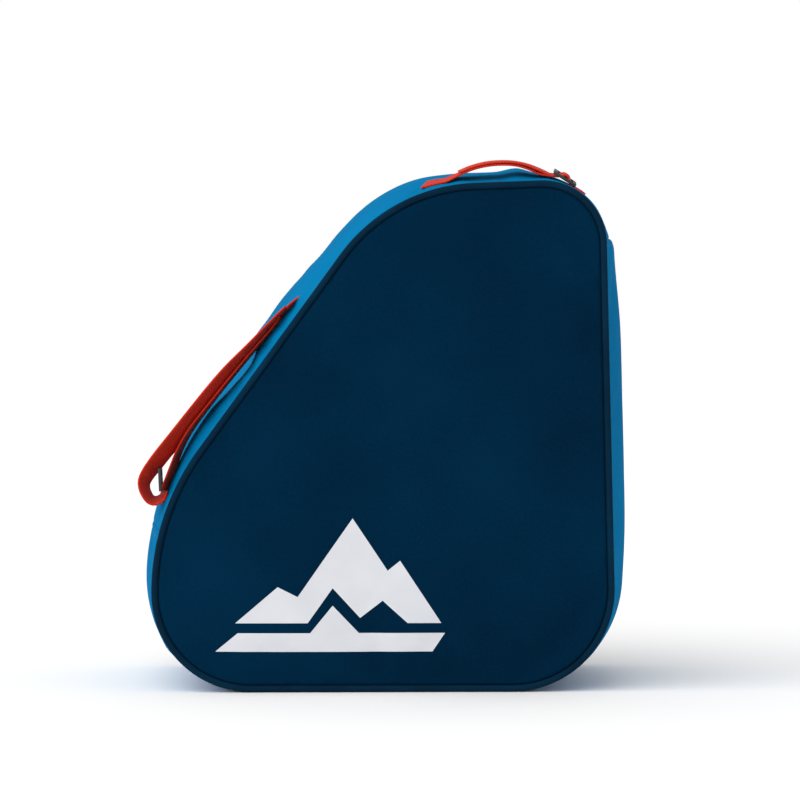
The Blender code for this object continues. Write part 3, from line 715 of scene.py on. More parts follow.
def make_print(name, corners, panel_tree, looks, replaced):
    """A thin film of ink that follows the panel's face: the generic mountain graphic."""
    step = 3.0 * MM
    outline = []
    for (x0, z0), (x1, z1) in zip(corners, corners[1:] + corners[:1]):
        pieces = max(1, round(math.hypot(x1 - x0, z1 - z0) / step))
        outline += [(x0 + (x1 - x0) * k / pieces, z0 + (z1 - z0) * k / pieces) for k in range(pieces)]
    count = len(outline)
    edges = [(k, (k + 1) % count) for k in range(count)]
    low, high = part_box(replaced)
    points = list(outline)
    for row, height in enumerate(np.arange(low.z + step, high.z, step * 0.866)):
        for across in np.arange(low.x + step, high.x, step):
            point = (across + step / 2.0 * (row % 2), height)
            nearest = min(math.hypot(point[0] - x, point[1] - z) for x, z in outline)
            if nearest > 0.6 * step:
                points.append(point)
    flat, _, faces, *_ = delaunay_2d_cdt([Vector(p) for p in points], edges, [], 1, 1e-7)
    used = sorted({v for face in faces for v in face})
    index = {v: k for k, v in enumerate(used)}
    vertices = []
    for v in used:
        x, z = flat[v]
        hit = panel_tree.ray_cast(Vector((x, -0.2, z)), Vector((0.0, 1.0, 0.0)))[0]
        vertices.append((x, hit.y - 0.22 * MM, z))
    faces = [tuple(index[v] for v in face) for face in faces]
    uvs = [(vertices[v][0], vertices[v][2]) for face in faces for v in face]
    piece = new_piece(name, vertices, faces, uvs)
    piece.data.materials.append(looks["silver"])
    wall = piece.modifiers.new("wall", "SOLIDIFY")
    wall.thickness = 0.3 * MM
    wall.offset = -1.0
    finish_modifiers(piece)
    smooth(piece, 50.0)
    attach(piece, "shell")
    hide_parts(replaced)
    return piece


def make_piping(name, side, looks, replaced):
    """Woven fabric wrapped round a cord, a little uneven where the seam gathers it."""
    count, around = round(OUTLINE.round / (2.8 * MM)), 14
    along = np.arange(count) * OUTLINE.round / count
    angle = np.arange(around) * 2.0 * math.pi / around
    gather = np.array([noise.noise(Vector((a / (6.0 * MM), 2.0 * side, 0.0))) for a in along])
    radius = (PIPING_RADIUS * (1.0 + 0.035 * gather))[:, None]
    out = -PIPING_INSET + radius * np.cos(angle)[None]
    y = side * (PIPING_Y + 0.4 * MM) + radius * np.sin(angle)[None]
    uv = [[(k * OUTLINE.round / count, j * 2.0 * math.pi * PIPING_RADIUS / around) for j in range(around + 1)]
          for k in range(count + 1)]
    piece = skin(name, place(along[:, None], y, out), uv, round_rows=True, round_columns=True)
    piece.data.materials.append(looks["navy_bias"])
    smooth(piece, 80.0)
    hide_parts(*replaced)
    return piece


def make_binding(name, side, looks, replaced):
    """Tape folded over the seam allowance inside the bag."""
    count = round(OUTLINE.round / (5.0 * MM))
    along = np.arange(count) * OUTLINE.round / count
    out, y = np.array(BINDING_SECTION).T[:, None] * MM
    uv = [[(k * OUTLINE.round / count, r * MM) for r in BINDING_REACH] for k in range(count + 1)]
    piece = skin(name, place(along[:, None], side * y, out), uv, round_rows=True, round_columns=True)
    piece.data.materials.append(looks["binding"])
    smooth(piece, 60.0)
    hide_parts(*replaced)
    return piece


# ---------------------------------------------------------------- gusset


def eased(value, low, high):
    part = np.clip((value - low) / (high - low), 0.0, 1.0)
    return part * part * (3.0 - 2.0 * part)


def sag_baring_shade_tape(along, y):
    """How far the front strip sinks below the zip, part of the way down the slope under the side strap, baring
    the black tape there as painted shade for the strap's shadow.
    """
    down = along - OUTLINE.near(SLOPE_ORIGIN.x, SLOPE_ORIGIN.z)
    length = eased(down, 0.090, 0.118) - eased(down, 0.140, 0.165)
    return SLACK_DEPTH * length * eased(y, -0.100, -0.050) * (1.0 - eased(y, ZIP_Y - TAPE_SHOWS, ZIP_Y))


def depths_between(low, high, spacing):
    count = max(2, round((high - low) / spacing))
    return list(np.linspace(low, high, count + 1))


def make_gusset(name, start, end, depths, dips, looks, replaced, lapped=False, slacken=None):
    """A length of the gusset from one cross seam to the other, swollen, with its edges turned in."""
    span = (end - start) % OUTLINE.round
    count = round(span / (5.0 * MM))
    close = np.array([0.0, 0.8, 2.0, 3.6, 5.0, 6.2, 7.6]) * MM
    open_part = np.linspace(11.0 * MM, span - 11.0 * MM, count - 3)
    from_start = np.concatenate([close, open_part, span - close[::-1]])
    along = (start + from_start)[:, None]
    y = np.array(depths)[None]
    out = face_height(along, y) - np.array(dips)[None]
    to_seam = np.minimum(from_start, span - from_start)[:, None]
    if lapped:
        part = np.clip((to_seam - LAP) / (2.6 * MM), 0.0, 1.0)
        out -= LAP_DEPTH * (1.0 - part * part * (3.0 - 2.0 * part))
    else:
        out -= 0.7 * MM * np.exp(-((to_seam / (1.0 * MM)) ** 2))
    if slacken:
        out -= slacken(along, y)
    to_edge = GUSSET_HALF - np.abs(y)
    for i, a in enumerate(along[:, 0]):
        for j, depth in enumerate(depths):
            broad = noise.noise(Vector((a * 16.0, depth * 16.0, 1.3)))
            pucker = noise.noise(Vector((a * 95.0, depth * 22.0, 7.1)))
            inset = max(to_edge[0, j], 0.0)
            fade = math.exp(-inset / (11.0 * MM)) * min(1.0, inset / (3.0 * MM))
            out[i, j] += 0.9 * MM * broad * min(1.0, swell_at(a) / (8.0 * MM)) + 0.8 * MM * pucker * fade
    points = place(along, y, out)
    points[..., 2] = np.maximum(points[..., 2], 0.15 * MM)
    uv = [[(start + f, d) for d in depths] for f in from_start]
    piece = skin(name, points, uv)
    flat_out = place(along, y, out + 0.01) - points
    normal = np.array(piece.data.polygons[len(piece.data.polygons) // 2].normal)
    middle = flat_out[len(from_start) // 2, len(depths) // 2]
    if normal @ middle < 0.0:
        piece.data.flip_normals()
    held = np.zeros(out.shape, bool)
    held[:2] = held[-2:] = True
    held[:, :2] = held[:, -2:] = True
    held |= points[..., 2] < 1.0 * MM
    settle(piece, held.ravel(), ease=0.008, pressure=0.12, cap=1.6 * MM)
    piece.data.materials.append(looks["blue"])
    piece.data.materials.append(looks["lining"])
    thicken(piece, FABRIC_THICK)
    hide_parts(replaced)
    return piece


def make_gussets(looks):
    """The lower length, the strip in front of the zip and the flap's strip behind it."""
    tuck_y = [depth for depth, _ in TUCK]
    tuck_dip = [dip for _, dip in TUCK]
    front_edge, flap_edge = ZIP_Y - TAPE_SHOWS, ZIP_Y + TAPE_SHOWS
    front = [-y for y in tuck_y]
    middle = depths_between(-0.108, 0.108, 6.0 * MM)
    lower = make_gusset(
        "lower_gusset_cloth",
        LEFT_SEAM,
        RIGHT_SEAM,
        front + middle + tuck_y[::-1],
        tuck_dip + [0.0] * len(middle) + tuck_dip[::-1],
        looks,
        "lower_gusset",
    )
    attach(lower, "shell")
    strip = depths_between(-0.108, front_edge - 1.2 * MM, 5.5 * MM) + [front_edge - 0.5 * MM, front_edge]
    fold = [0.0] * (len(strip) - 2) + [0.15 * MM, 0.6 * MM]
    front_strip = make_gusset(
        "zip_gusset_front_cloth",
        RIGHT_SEAM - LAP,
        LEFT_SEAM + LAP,
        front + strip,
        tuck_dip + fold,
        looks,
        "zip_gusset_front",
        lapped=True,
        slacken=sag_baring_shade_tape,
    )
    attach(front_strip, "shell")
    strip = [flap_edge, flap_edge + 0.5 * MM] + depths_between(flap_edge + 1.2 * MM, 0.108, 5.5 * MM)
    fold = [0.6 * MM, 0.15 * MM] + [0.0] * (len(strip) - 2)
    flap_strip = make_gusset(
        "flap_gusset_cloth",
        RIGHT_SEAM - LAP,
        LEFT_SEAM + LAP,
        strip + tuck_y[::-1],
        fold + tuck_dip[::-1],
        looks,
        "flap_gusset",
        lapped=True,
    )
    return lower, front_strip, flap_strip


# ---------------------------------------------------------------- stitches


def stitch_template():
    """One stitch: a short thread with rounded ends, along X, half sunk into the cloth."""
    bpy.ops.object.select_all(action="DESELECT")
    bpy.ops.mesh.primitive_cylinder_add(
        vertices=6, radius=STITCH_RADIUS, depth=0.62 * STITCH_LENGTH, rotation=(0.0, math.pi / 2.0, 0.0)
    )
    made = bpy.context.object
    bpy.ops.object.transform_apply(location=False, rotation=True, scale=True)
    for side in (-1.0, 1.0):
        bpy.ops.object.mode_set(mode="OBJECT")
        for face in made.data.polygons:
            face.select = face.normal.x * side > 0.9
        bpy.ops.object.mode_set(mode="EDIT")
        bpy.ops.mesh.select_mode(type="FACE")
        bpy.ops.mesh.extrude_region_move(
            TRANSFORM_OT_translate={"value": (side * 0.19 * STITCH_LENGTH, 0.0, -0.5 * STITCH_RADIUS)}
        )
        bpy.ops.transform.resize(value=(1.0, 0.45, 0.45))
        bpy.ops.mesh.select_all(action="DESELECT")
    bpy.ops.object.mode_set(mode="OBJECT")
    return made


def sew(name, spots, looks, body=None):
    """Stitches at (place, direction, outward) spots, which ride on a body or are left where they are drawn."""
    matrices = []
    for at, ahead, outward in spots:
        ahead, outward = Vector(ahead).normalized(), Vector(outward).normalized()
        side = outward.cross(ahead).normalized()
        matrices.append(basis(Vector(at), ahead, side, ahead.cross(side)))
    piece = close_copy(stitch_template(), matrices, name)
    piece.data.materials.append(looks["blue_thread"])
    if body:
        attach(piece, body)
    else:
        bend_with_flap(piece)
    return piece


def seam_spots(tree, alongs, y, ahead=None):
    """Spots on a gusset's cloth at these lengths round the outline, one stitch apart."""
    spots = []
    for along in alongs:
        x, z, nx, nz = (float(v) for v in OUTLINE.at(along))
        outward = Vector((nx, 0.0, nz))
        lift = float(face_height(along, y)) + 0.02
        hit, normal = tree.ray_cast(Vector((x + nx * lift, y, z + nz * lift)), -outward)[:2]
        if hit is not None:
            spots.append((hit - normal * 0.12 * MM, ahead or Vector((-nz, 0.0, nx)), normal))
    return spots


def cross_spots(tree, along, low, high):
    """Spots across the gusset at one length round the outline."""
    spots = []
    for y in np.arange(low, high, STITCH_PITCH):
        spots += seam_spots(tree, [along], float(y), Vector((0.0, 1.0, 0.0)))
    return spots


def make_gusset_stitches(lower, front_strip, flap_strip, looks):
    span = (LEFT_SEAM - RIGHT_SEAM) % OUTLINE.round
    along = RIGHT_SEAM + np.arange(5.0 * MM, span - 5.0 * MM, STITCH_PITCH)
    front_tree, flap_tree, lower_tree = tree_of(front_strip), tree_of(flap_strip), tree_of(lower)
    edge = 2.6 * MM
    sew("zip_stitches_front", seam_spots(front_tree, along, ZIP_Y - TAPE_SHOWS - edge), looks, "shell")
    sew("zip_stitches_flap", seam_spots(flap_tree, along, ZIP_Y + TAPE_SHOWS + edge), looks)
    spots = cross_spots(lower_tree, LEFT_SEAM + 5.0 * MM, -0.110, 0.110)
    spots += cross_spots(lower_tree, RIGHT_SEAM - 5.0 * MM, -0.110, 0.110)
    sew("cross_seam_stitches", spots, looks, "shell")


# ---------------------------------------------------------------- zip


def make_zip_tape(name, along, section, reach, looks):
    """A closed strip along the zip: section lists (depth, height over the gusset's face)."""
    y = np.array([s[0] for s in section])[None]
    lift = np.array([s[1] for s in section])[None]
    out = face_height(along[:, None], y) + lift - sag_baring_shade_tape(along[:, None], y)
    uv = [[(a, r) for r in reach] for a in along]
    piece = skin(f"zip_tape_{name}_knit", place(along[:, None], y, out), uv, round_columns=True, capped=True)
    piece.data.materials.append(looks["tape"])
    smooth(piece, 50.0)
    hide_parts(f"zip_tape_{name}")
    return piece


def tooth_template(side):
    """One tooth of the coil: a bar across the tape with a swollen head that reaches past the middle."""
    bpy.ops.object.select_all(action="DESELECT")
    length = 3.5 * MM
    bpy.ops.mesh.primitive_cylinder_add(
        vertices=8, radius=TOOTH_RADIUS, depth=length, location=(0.0, side * 1.6 * MM, 0.0),
        rotation=(math.pi / 2.0, 0.0, 0.0),
    )
    made = bpy.context.object
    bpy.ops.object.transform_apply(location=True, rotation=True, scale=True)
    for face in made.data.polygons:
        face.select = face.normal.y * side < -0.9
    bpy.ops.object.mode_set(mode="EDIT")
    bpy.ops.mesh.select_mode(type="FACE")
    bpy.ops.mesh.extrude_region_move(TRANSFORM_OT_translate={"value": (0.0, -side * 0.35 * MM, 0.0)})
    bpy.ops.transform.resize(value=(1.25, 1.0, 1.5))
    bpy.ops.mesh.extrude_region_move(TRANSFORM_OT_translate={"value": (0.0, -side * 0.45 * MM, 0.0)})
    bpy.ops.mesh.extrude_region_move(TRANSFORM_OT_translate={"value": (0.0, -side * 0.2 * MM, 0.0)})
    bpy.ops.transform.resize(value=(0.5, 1.0, 0.5))
    bpy.ops.object.mode_set(mode="OBJECT")
    return made


def make_zip(looks):
    """Tapes, and two rows of coil teeth that mesh."""
    span = (LEFT_SEAM - RIGHT_SEAM) % OUTLINE.round - 2.0 * SEAM_SPLIT
    along = RIGHT_SEAM + SEAM_SPLIT + np.linspace(0.0, span, round(span / (4.0 * MM)) + 1)
    for name, side, body in (("front", -1.0, "shell"), ("flap", 1.0, None)):
        section = [(ZIP_Y + side * y * MM, h * MM) for y, h in TAPE_SECTION]
        tape = make_zip_tape(name, along, section, [reach * MM for reach in TAPE_REACH], looks)
        spots = np.arange(RIGHT_SEAM + 2.0 * MM, RIGHT_SEAM + span - 1.0 * MM, TOOTH_PITCH)
        if side > 0.0:
            spots = spots + TOOTH_PITCH / 2.0
        matrices = []
        for spot in spots:
            x, z, nx, nz = (float(v) for v in OUTLINE.at(spot))
            height = float(face_height(spot, ZIP_Y)) - 1.5 * MM
            origin = Vector((x + nx * height, ZIP_Y, z + nz * height))
            outward = Vector((nx, 0.0, nz))
            matrices.append(basis(origin, Vector((nz, 0.0, -nx)), Vector((0.0, 1.0, 0.0)), outward))
        teeth = close_copy(tooth_template(side), matrices, f"zip_teeth_{name}")
        teeth.data.materials.append(looks["coil"])
        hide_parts(f"zip_coil_{name}")
        for piece in (tape, teeth):
            if body:
                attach(piece, body)
            else:
                bend_with_flap(piece)


def make_zip_tabs(lower, looks):
    """A folded square of the gusset's cloth sewn over each end of the zip."""
    tree = tree_of(lower)
    half, length, thick = 12.0 * MM, 17.2 * MM, 0.9 * MM
    for name, start in (("left", LEFT_SEAM + 0.8 * MM), ("right", RIGHT_SEAM - 18.0 * MM)):
        steps = np.linspace(0.0, length, 9)
        depths = ZIP_Y + np.linspace(-half, half, 9)
        points = []
        for along in start + steps:
            x, z, nx, nz = (float(v) for v in OUTLINE.at(along))
            row = []
            for y in depths:
                lift = float(face_height(along, y)) + 0.02
                outward = Vector((nx, 0.0, nz))
                hit = tree.ray_cast(Vector((x, y, z)) + outward * lift, -outward)[0]
                row.append(tuple(hit + outward * (thick + 0.05 * MM)))
            points.append(row)
        uv = [[(float(y), float(s)) for y in depths] for s in steps]
        piece = skin(f"zip_tab_{name}_tape", points, uv)
        x, z, nx, nz = (float(v) for v in OUTLINE.at(start + length / 2.0))
        if piece.data.polygons[30].normal.dot(Vector((nx, 0.0, nz))) < 0.0:
            piece.data.flip_normals()
        piece.data.materials.append(looks["blue"])
        wall = piece.modifiers.new("wall", "SOLIDIFY")
        wall.thickness = thick
        wall.offset = -1.0
        edge = piece.modifiers.new("edge", "BEVEL")
        edge.width = 0.45 * MM
        edge.segments = 2
        edge.limit_method = "ANGLE"
        finish_modifiers(piece)
        smooth(piece, 50.0)
        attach(piece, "shell")
        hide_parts(f"zip_tab_{name}")
        tab_tree = tree_of(piece)
        spots = []
        inner = 2.6 * MM
        for along in (start + inner, start + length - inner):
            spots += cross_spots(tab_tree, along, ZIP_Y - half + inner, ZIP_Y + half - inner)
        for y in (ZIP_Y - half + inner, ZIP_Y + half - inner):
            spots += seam_spots(tab_tree, np.arange(start + inner, start + length - inner, STITCH_PITCH), y)
        sew(f"zip_tab_{name}_stitches", spots, looks, "shell")


# ---------------------------------------------------------------- sliders and pulls


def added_box(size, centre):
    bpy.ops.object.select_all(action="DESELECT")
    bpy.ops.mesh.primitive_cube_add(size=1.0, location=centre)
    made = bpy.context.object
    made.scale = size
    bpy.ops.object.transform_apply(location=True, rotation=True, scale=True)
    return made


def pick_faces(piece, test):
    """Selects the faces that pass the test, in edit mode."""
    bpy.ops.object.mode_set(mode="OBJECT")
    for vertex in piece.data.vertices:
        vertex.select = False
    for edge in piece.data.edges:
        edge.select = False
    for face in piece.data.polygons:
        face.select = test(face)
    bpy.ops.object.mode_set(mode="EDIT")
    bpy.ops.mesh.select_mode(type="FACE")


def rounded(piece, width, segments=2, angle=30.0):
    edge = piece.modifiers.new("edge", "BEVEL")
    edge.width = width
    edge.segments = segments
    edge.limit_method = "ANGLE"
    edge.angle_limit = math.radians(angle)
    finish_modifiers(piece)


def cut_away(piece, *cutters):
    """Cuts the cutters' shapes out of the piece and removes them."""
    for cutter in cutters:
        hole = piece.modifiers.new("hole", "BOOLEAN")
        hole.operation = "DIFFERENCE"
        hole.solver = "EXACT"
        hole.object = cutter
        finish_modifiers(piece)
        bpy.data.objects.remove(cutter, do_unlink=True)


def join(pieces, name):
    bpy.ops.object.select_all(action="DESELECT")
    for piece in pieces:
        piece.select_set(True)
    bpy.context.view_layer.objects.active = pieces[0]
    if len(pieces) > 1:
        bpy.ops.object.join()
    pieces[0].name = name
    return pieces[0]


def send(piece, matrix):
    """Puts a piece that was drawn round the origin in its place, in its mesh."""
    piece.data.transform(matrix)
    piece.data.update()


def slider_matrix(name):
    """Drawn with +X towards the slider's wide nose, +Z off the gusset, its middle on the zip."""
    pivot = Vector(joint(f"pull_{name}_hinge")["pos_m"])
    nose = -SLOPE_DOWN if name == "lower" else SLOPE_DOWN
    origin = Vector((pivot.x, ZIP_Y, pivot.z)) - SLOPE_OUT * PIVOT_HEIGHT
    return basis(origin, nose, SLOPE_OUT.cross(nose), SLOPE_OUT)


def make_slider(name, looks):
    """A die-cast slider: a shield-shaped plate with side flanges over the coils, and an arched crown."""
    top, under = 2.4 * MM, 0.9 * MM
    plate = added_box((13.0 * MM, 11.4 * MM, top - under), (0.0, 0.0, (top + under) / 2.0))
    pick_faces(plate, lambda face: face.normal.x < -0.9)
    bpy.ops.transform.resize(value=(1.0, 0.62, 1.0))
    bpy.ops.mesh.extrude_region_move(TRANSFORM_OT_translate={"value": (-1.2 * MM, 0.0, 0.0)})
    bpy.ops.transform.resize(value=(1.0, 0.6, 1.0))
    pick_faces(plate, lambda face: face.normal.x > 0.9)
    bpy.ops.mesh.extrude_region_move(TRANSFORM_OT_translate={"value": (1.1 * MM, 0.0, 0.0)})
    bpy.ops.transform.resize(value=(1.0, 0.72, 1.0))
    pick_faces(plate, lambda face: face.normal.z > 0.9)
    bpy.ops.mesh.inset(thickness=1.1 * MM, depth=0.35 * MM)
    bpy.ops.object.mode_set(mode="OBJECT")
    rounded(plate, 0.35 * MM)
    flanges = []
    for side in (-1.0, 1.0):
        flange = added_box((9.5 * MM, 1.0 * MM, 3.4 * MM), (0.6 * MM, side * 5.0 * MM, 0.1 * MM))
        pick_faces(flange, lambda face: face.normal.x < -0.9)
        bpy.ops.transform.translate(value=(0.0, -side * 1.3 * MM, 0.0))
        bpy.ops.object.mode_set(mode="OBJECT")
        rounded(flange, 0.3 * MM)
        flanges.append(flange)
    bpy.ops.object.select_all(action="DESELECT")
    bpy.ops.mesh.primitive_torus_add(
        major_radius=2.75 * MM, minor_radius=0.8 * MM, major_segments=28, minor_segments=10,
        location=(0.0, 0.0, 3.0 * MM), rotation=(math.pi / 2.0, 0.0, 0.0),
    )
    crown = bpy.context.object
    bpy.ops.object.transform_apply(location=True, rotation=True, scale=True)
    bpy.ops.object.mode_set(mode="EDIT")
    bpy.ops.mesh.select_all(action="SELECT")
    bpy.ops.transform.resize(value=(1.15, 1.5, 1.0))
    bpy.ops.mesh.bisect(
        plane_co=(0.0, 0.0, 1.6 * MM), plane_no=(0.0, 0.0, 1.0), clear_inner=True, use_fill=True
    )
    bpy.ops.object.mode_set(mode="OBJECT")
    piece = join([plate, *flanges, crown], f"zip_slider_{name}_cast")
    send(piece, slider_matrix(name))
    smooth(piece, 35.0)
    piece.data.materials.append(looks["zinc"])
    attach(piece, f"slider_{name}")
    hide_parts(f"zip_slider_{name}")


def make_pull(name, looks):
    """A flat pull with a round-ended eye, a waist and three grip ribs, lying down the slope."""
    length, width, thick = 25.0 * MM, 7.0 * MM, 1.3 * MM
    plate = added_box((length, width, thick), (length / 2.0 - 0.7 * MM, 0.0, 0.0))
    bpy.ops.object.mode_set(mode="EDIT")
    bpy.ops.mesh.select_all(action="SELECT")
    bpy.ops.mesh.bisect(plane_co=(7.5 * MM, 0.0, 0.0), plane_no=(1.0, 0.0, 0.0))
    bpy.ops.mesh.select_all(action="SELECT")
    bpy.ops.mesh.bisect(plane_co=(12.0 * MM, 0.0, 0.0), plane_no=(1.0, 0.0, 0.0))
    bpy.ops.object.mode_set(mode="OBJECT")
    for vertex in plate.data.vertices:
        if 7.0 * MM < vertex.co.x < 8.0 * MM:
            vertex.co.y *= 0.66
    rounded(plate, 1.1 * MM, segments=3, angle=60.0)
    eye = added_box((5.0 * MM, 4.4 * MM, 4.0 * MM), (3.4 * MM, 0.0, 0.0))
    hole = added_box((2.4 * MM, 2.4 * MM, 4.0 * MM), (20.6 * MM, 0.0, 0.0))
    for cutter in (eye, hole):
        rounded(cutter, 0.8 * MM, segments=3, angle=60.0)
    cut_away(plate, eye, hole)
    ribs = []
    for k in range(3):
        rib = added_box((0.9 * MM, 5.2 * MM, 0.5 * MM), ((13.0 + 2.0 * k) * MM, 0.0, 0.85 * MM))
        rounded(rib, 0.2 * MM)
        ribs.append(rib)
    piece = join([plate, *ribs], f"zip_pull_{name}_cast")
    pivot = Vector(joint(f"pull_{name}_hinge")["pos_m"])
    across = Vector((0.0, 1.0, 0.0))
    send(piece, basis(Vector((pivot.x, ZIP_Y, pivot.z)), SLOPE_DOWN, across, SLOPE_DOWN.cross(across)))
    smooth(piece, 35.0)
    piece.data.materials.append(looks["zinc"])
    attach(piece, f"pull_{name}")
    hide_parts(f"zip_pull_{name}")


# ---------------------------------------------------------------- webbing


def curve_through(points, spacing):
    """A smooth curve through the points (Catmull-Rom), with its own points about this far apart."""
    points = [Vector(p) for p in points]
    ends = [points[0] * 2.0 - points[1], *points, points[-1] * 2.0 - points[-2]]
    found = []
    for a, b, c, d in zip(ends, ends[1:], ends[2:], ends[3:]):
        steps = max(1, round(math.hypot(c[0] - b[0], c[1] - b[1]) / spacing))
        for k in range(steps):
            t = k / steps
            found.append(
                0.5 * (2.0 * b + (c - a) * t + (2.0 * a - 5.0 * b + 4.0 * c - d) * t * t
                       + (3.0 * b - a - 3.0 * c + d) * t ** 3)
            )
    found.append(points[-1].copy())
    return found


def web_section():
    """The section of flat webbing with rounded selvedges, as (across, up), and the reach round it."""
    half, rise = WEB_WIDTH / 2.0, WEB_THICK / 2.0
    upper = [(-half * 0.55, rise * 0.94), (0.0, rise * 0.9), (half * 0.55, rise * 0.94)]
    upper = [(-half + 1.2 * MM, rise), *upper, (half - 1.2 * MM, rise)]
    edge = [(half - 0.3 * MM, rise * 0.75), (half, 0.0), (half - 0.3 * MM, -rise * 0.75)]
    lower = [(a, -b) for a, b in reversed(upper)]
    other = [(-a, b) for a, b in reversed(edge)]
    section = upper + edge + lower + other
    reach = [a for a, _ in upper] + [half - 0.2 * MM, half, half + 0.3 * MM]
    reach += [half + 0.6 * MM + (half - a) for a, _ in lower] + [half * 3.0 + 0.5 * MM] * 3
    return section, [*reach, half * 3.0 + 1.5 * MM]


def make_webbing(name, route, looks, replaced, slant=0.0):
    """Flat webbing along (x, z, roll in degrees, how far back); roll lifts its back edge off the bag.

    Slant is how much shorter the front edge is than the back one, at the first end.
    """
    places = [(x, z, math.radians(roll), back[0] if back else 0.0) for x, z, roll, *back in route]
    path = curve_through(places, 2.2 * MM)
    section, reach = web_section()
    rows, uv, walked = [], [], 0.0
    for i, (x, z, roll, back) in enumerate(path):
        ahead, behind = path[min(i + 1, len(path) - 1)], path[max(i - 1, 0)]
        tangent = Vector((ahead[0] - behind[0], 0.0, ahead[1] - behind[1])).normalized()
        normal = Vector((-tangent.z, 0.0, tangent.x))
        across = Vector((0.0, 1.0, 0.0)) * math.cos(roll) + normal * math.sin(roll)
        up = normal * math.cos(roll) - Vector((0.0, 1.0, 0.0)) * math.sin(roll)
        if i:
            walked += math.hypot(x - path[i - 1][0], z - path[i - 1][1])
        middle = Vector((x, WEB_Y + back, z))
        skew = slant * max(0.0, 1.0 - i / SLANTED_ROWS)
        rows.append(
            [tuple(middle + across * a + up * b + tangent * skew * (0.5 - a / WEB_WIDTH)) for a, b in section]
        )
        uv.append([(walked, r) for r in reach])
    piece = skin(name, rows, uv, round_columns=True, capped=True)
    piece.data.materials.append(looks["red"])
    smooth(piece, 60.0)
    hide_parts(*replaced)
    return piece


def make_adjuster(name, middle, along, length, looks, body, roll=0.0):
    """A moulded tri-glide: a rounded frame with two slots and a thicker bar between them."""
    width, thick = 31.0 * MM, 2.6 * MM
    plate = added_box((length, width, thick), (0.0, 0.0, 0.0))
    bar, end = 0.154 * length, 0.144 * length
    slot = (length - 2.0 * end - bar) / 2.0
    cutters = []
    for side in (-1.0, 1.0):
        cutter = added_box((slot, 26.6 * MM, 4.0 * thick), (side * (bar + slot) / 2.0, 0.0, 0.0))
        rounded(cutter, 0.8 * MM, segments=2, angle=60.0)
        cutters.append(cutter)
    cut_away(plate, *cutters)
    rounded(plate, 0.55 * MM, segments=2, angle=50.0)
    grips = []
    for k in (-1.0, 0.0, 1.0):
        grip = added_box((0.55 * bar, 1.6 * MM, 0.8 * MM), (0.0, k * 5.0 * MM, thick / 2.0))
        rounded(grip, 0.25 * MM)
        grips.append(grip)
    piece = join([plate, *grips], f"{name}_moulding")
    up = along.cross(Vector((0.0, 1.0, 0.0)))
    across = Vector((0.0, 1.0, 0.0)) * math.cos(math.radians(roll)) + up * math.sin(math.radians(roll))
    send(piece, basis(Vector(middle), along, across, along.cross(across)))
    smooth(piece, 35.0)
    piece.data.materials.append(looks["acetal"])
    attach(piece, body)
    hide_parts(name)
    return piece


def resting(near, rise):
    """Webbing places on the gusset's face next to these x, z points: x, z, and the face's roll in degrees."""
    route = []
    for x, z in near:
        along = OUTLINE.near(x, z)
        ox, oz, nx, nz = (float(v) for v in OUTLINE.at(along))
        height = float(face_height(along, WEB_Y)) + rise
        lean = float(face_height(along, WEB_Y + 0.01) - face_height(along, WEB_Y - 0.01)) / 0.02
        route.append((ox + nx * height, oz + nz * height, math.degrees(math.atan(lean))))
    return route


def make_handle(looks):
    """The arched top handle with its doubled run, its adjuster and its sewn ends."""
    left = resting([(x, 0.404) for x in (0.0365, 0.0400, 0.0435)], 1.2 * MM)
    rise = [
        (0.0500, 0.4108, 7.0),
        (0.0576, 0.4144, 5.0),
        (0.0700, 0.4196, 4.0),
        (0.0824, 0.4226, 4.0),
        (0.0950, 0.4236, 4.0),
        (0.1060, 0.4228, 4.0),
        (0.1160, 0.4201, 5.0),
        (0.1250, 0.4164, 6.0),
    ]
    lean = math.radians(-33.0)
    along = Vector((math.cos(lean), 0.0, math.sin(lean)))
    up = Vector((-along.z, 0.0, along.x))
    low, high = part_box("handle_adjuster")
    centre = (low + high) / 2.0 + Vector((-1.2 * MM, 0.0, -3.0 * MM))
    over_bar = ((-4.4, 0.0), (-1.9, 2.4), (0.0, 2.7), (1.9, 2.4), (4.4, 0.0))
    through = ((-7.4, -2.4), *over_bar, (6.6, -2.1), (8.0, -2.6))
    places = [centre + (along * u + up * w) * MM for u, w in through]
    places = [(p.x, p.z, ADJUSTER_ROLL) for p in places]
    right = resting([(x, 0.398) for x in (0.1560, 0.1580, 0.1600)], 1.0 * MM)
    route = [*left, *rise, *places[:4]]
    long_part = make_webbing(
        "handle_strap_long", route, looks, ["handle_webbing", "handle_end_left"], slant=-7.0 * MM
    )
    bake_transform(long_part)
    short_part = make_webbing("handle_strap_short", [*places[3:], *right], looks, ["handle_end_right"])
    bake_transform(short_part)
    tail = [
        (0.0600, 0.4172, 4.0),
        (0.0700, 0.4214, 4.0),
        (0.0824, 0.4246, 4.0),
        (0.0950, 0.4256, 4.0),
        (0.1060, 0.4250, 4.0),
        (0.1160, 0.4226, 5.0),
        (0.1250, 0.4190, 6.0),
        (0.1330, 0.4152, 6.0),
    ]
    tail_part = make_webbing("handle_strap_tail", tail, looks, ["handle_tail"])
    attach(tail_part, "handle")
    make_adjuster("handle_adjuster", centre, along, 20.8 * MM, looks, "handle", ADJUSTER_ROLL)


def down_the_slope(places):
    """A route from (mm down the slope, mm off it, roll in degrees, how far back) places."""
    route = []
    for down, out, roll, back in places:
        spot = on_slope(down * MM, out * MM)
        route.append((spot.x, spot.z, roll, back))
    return route


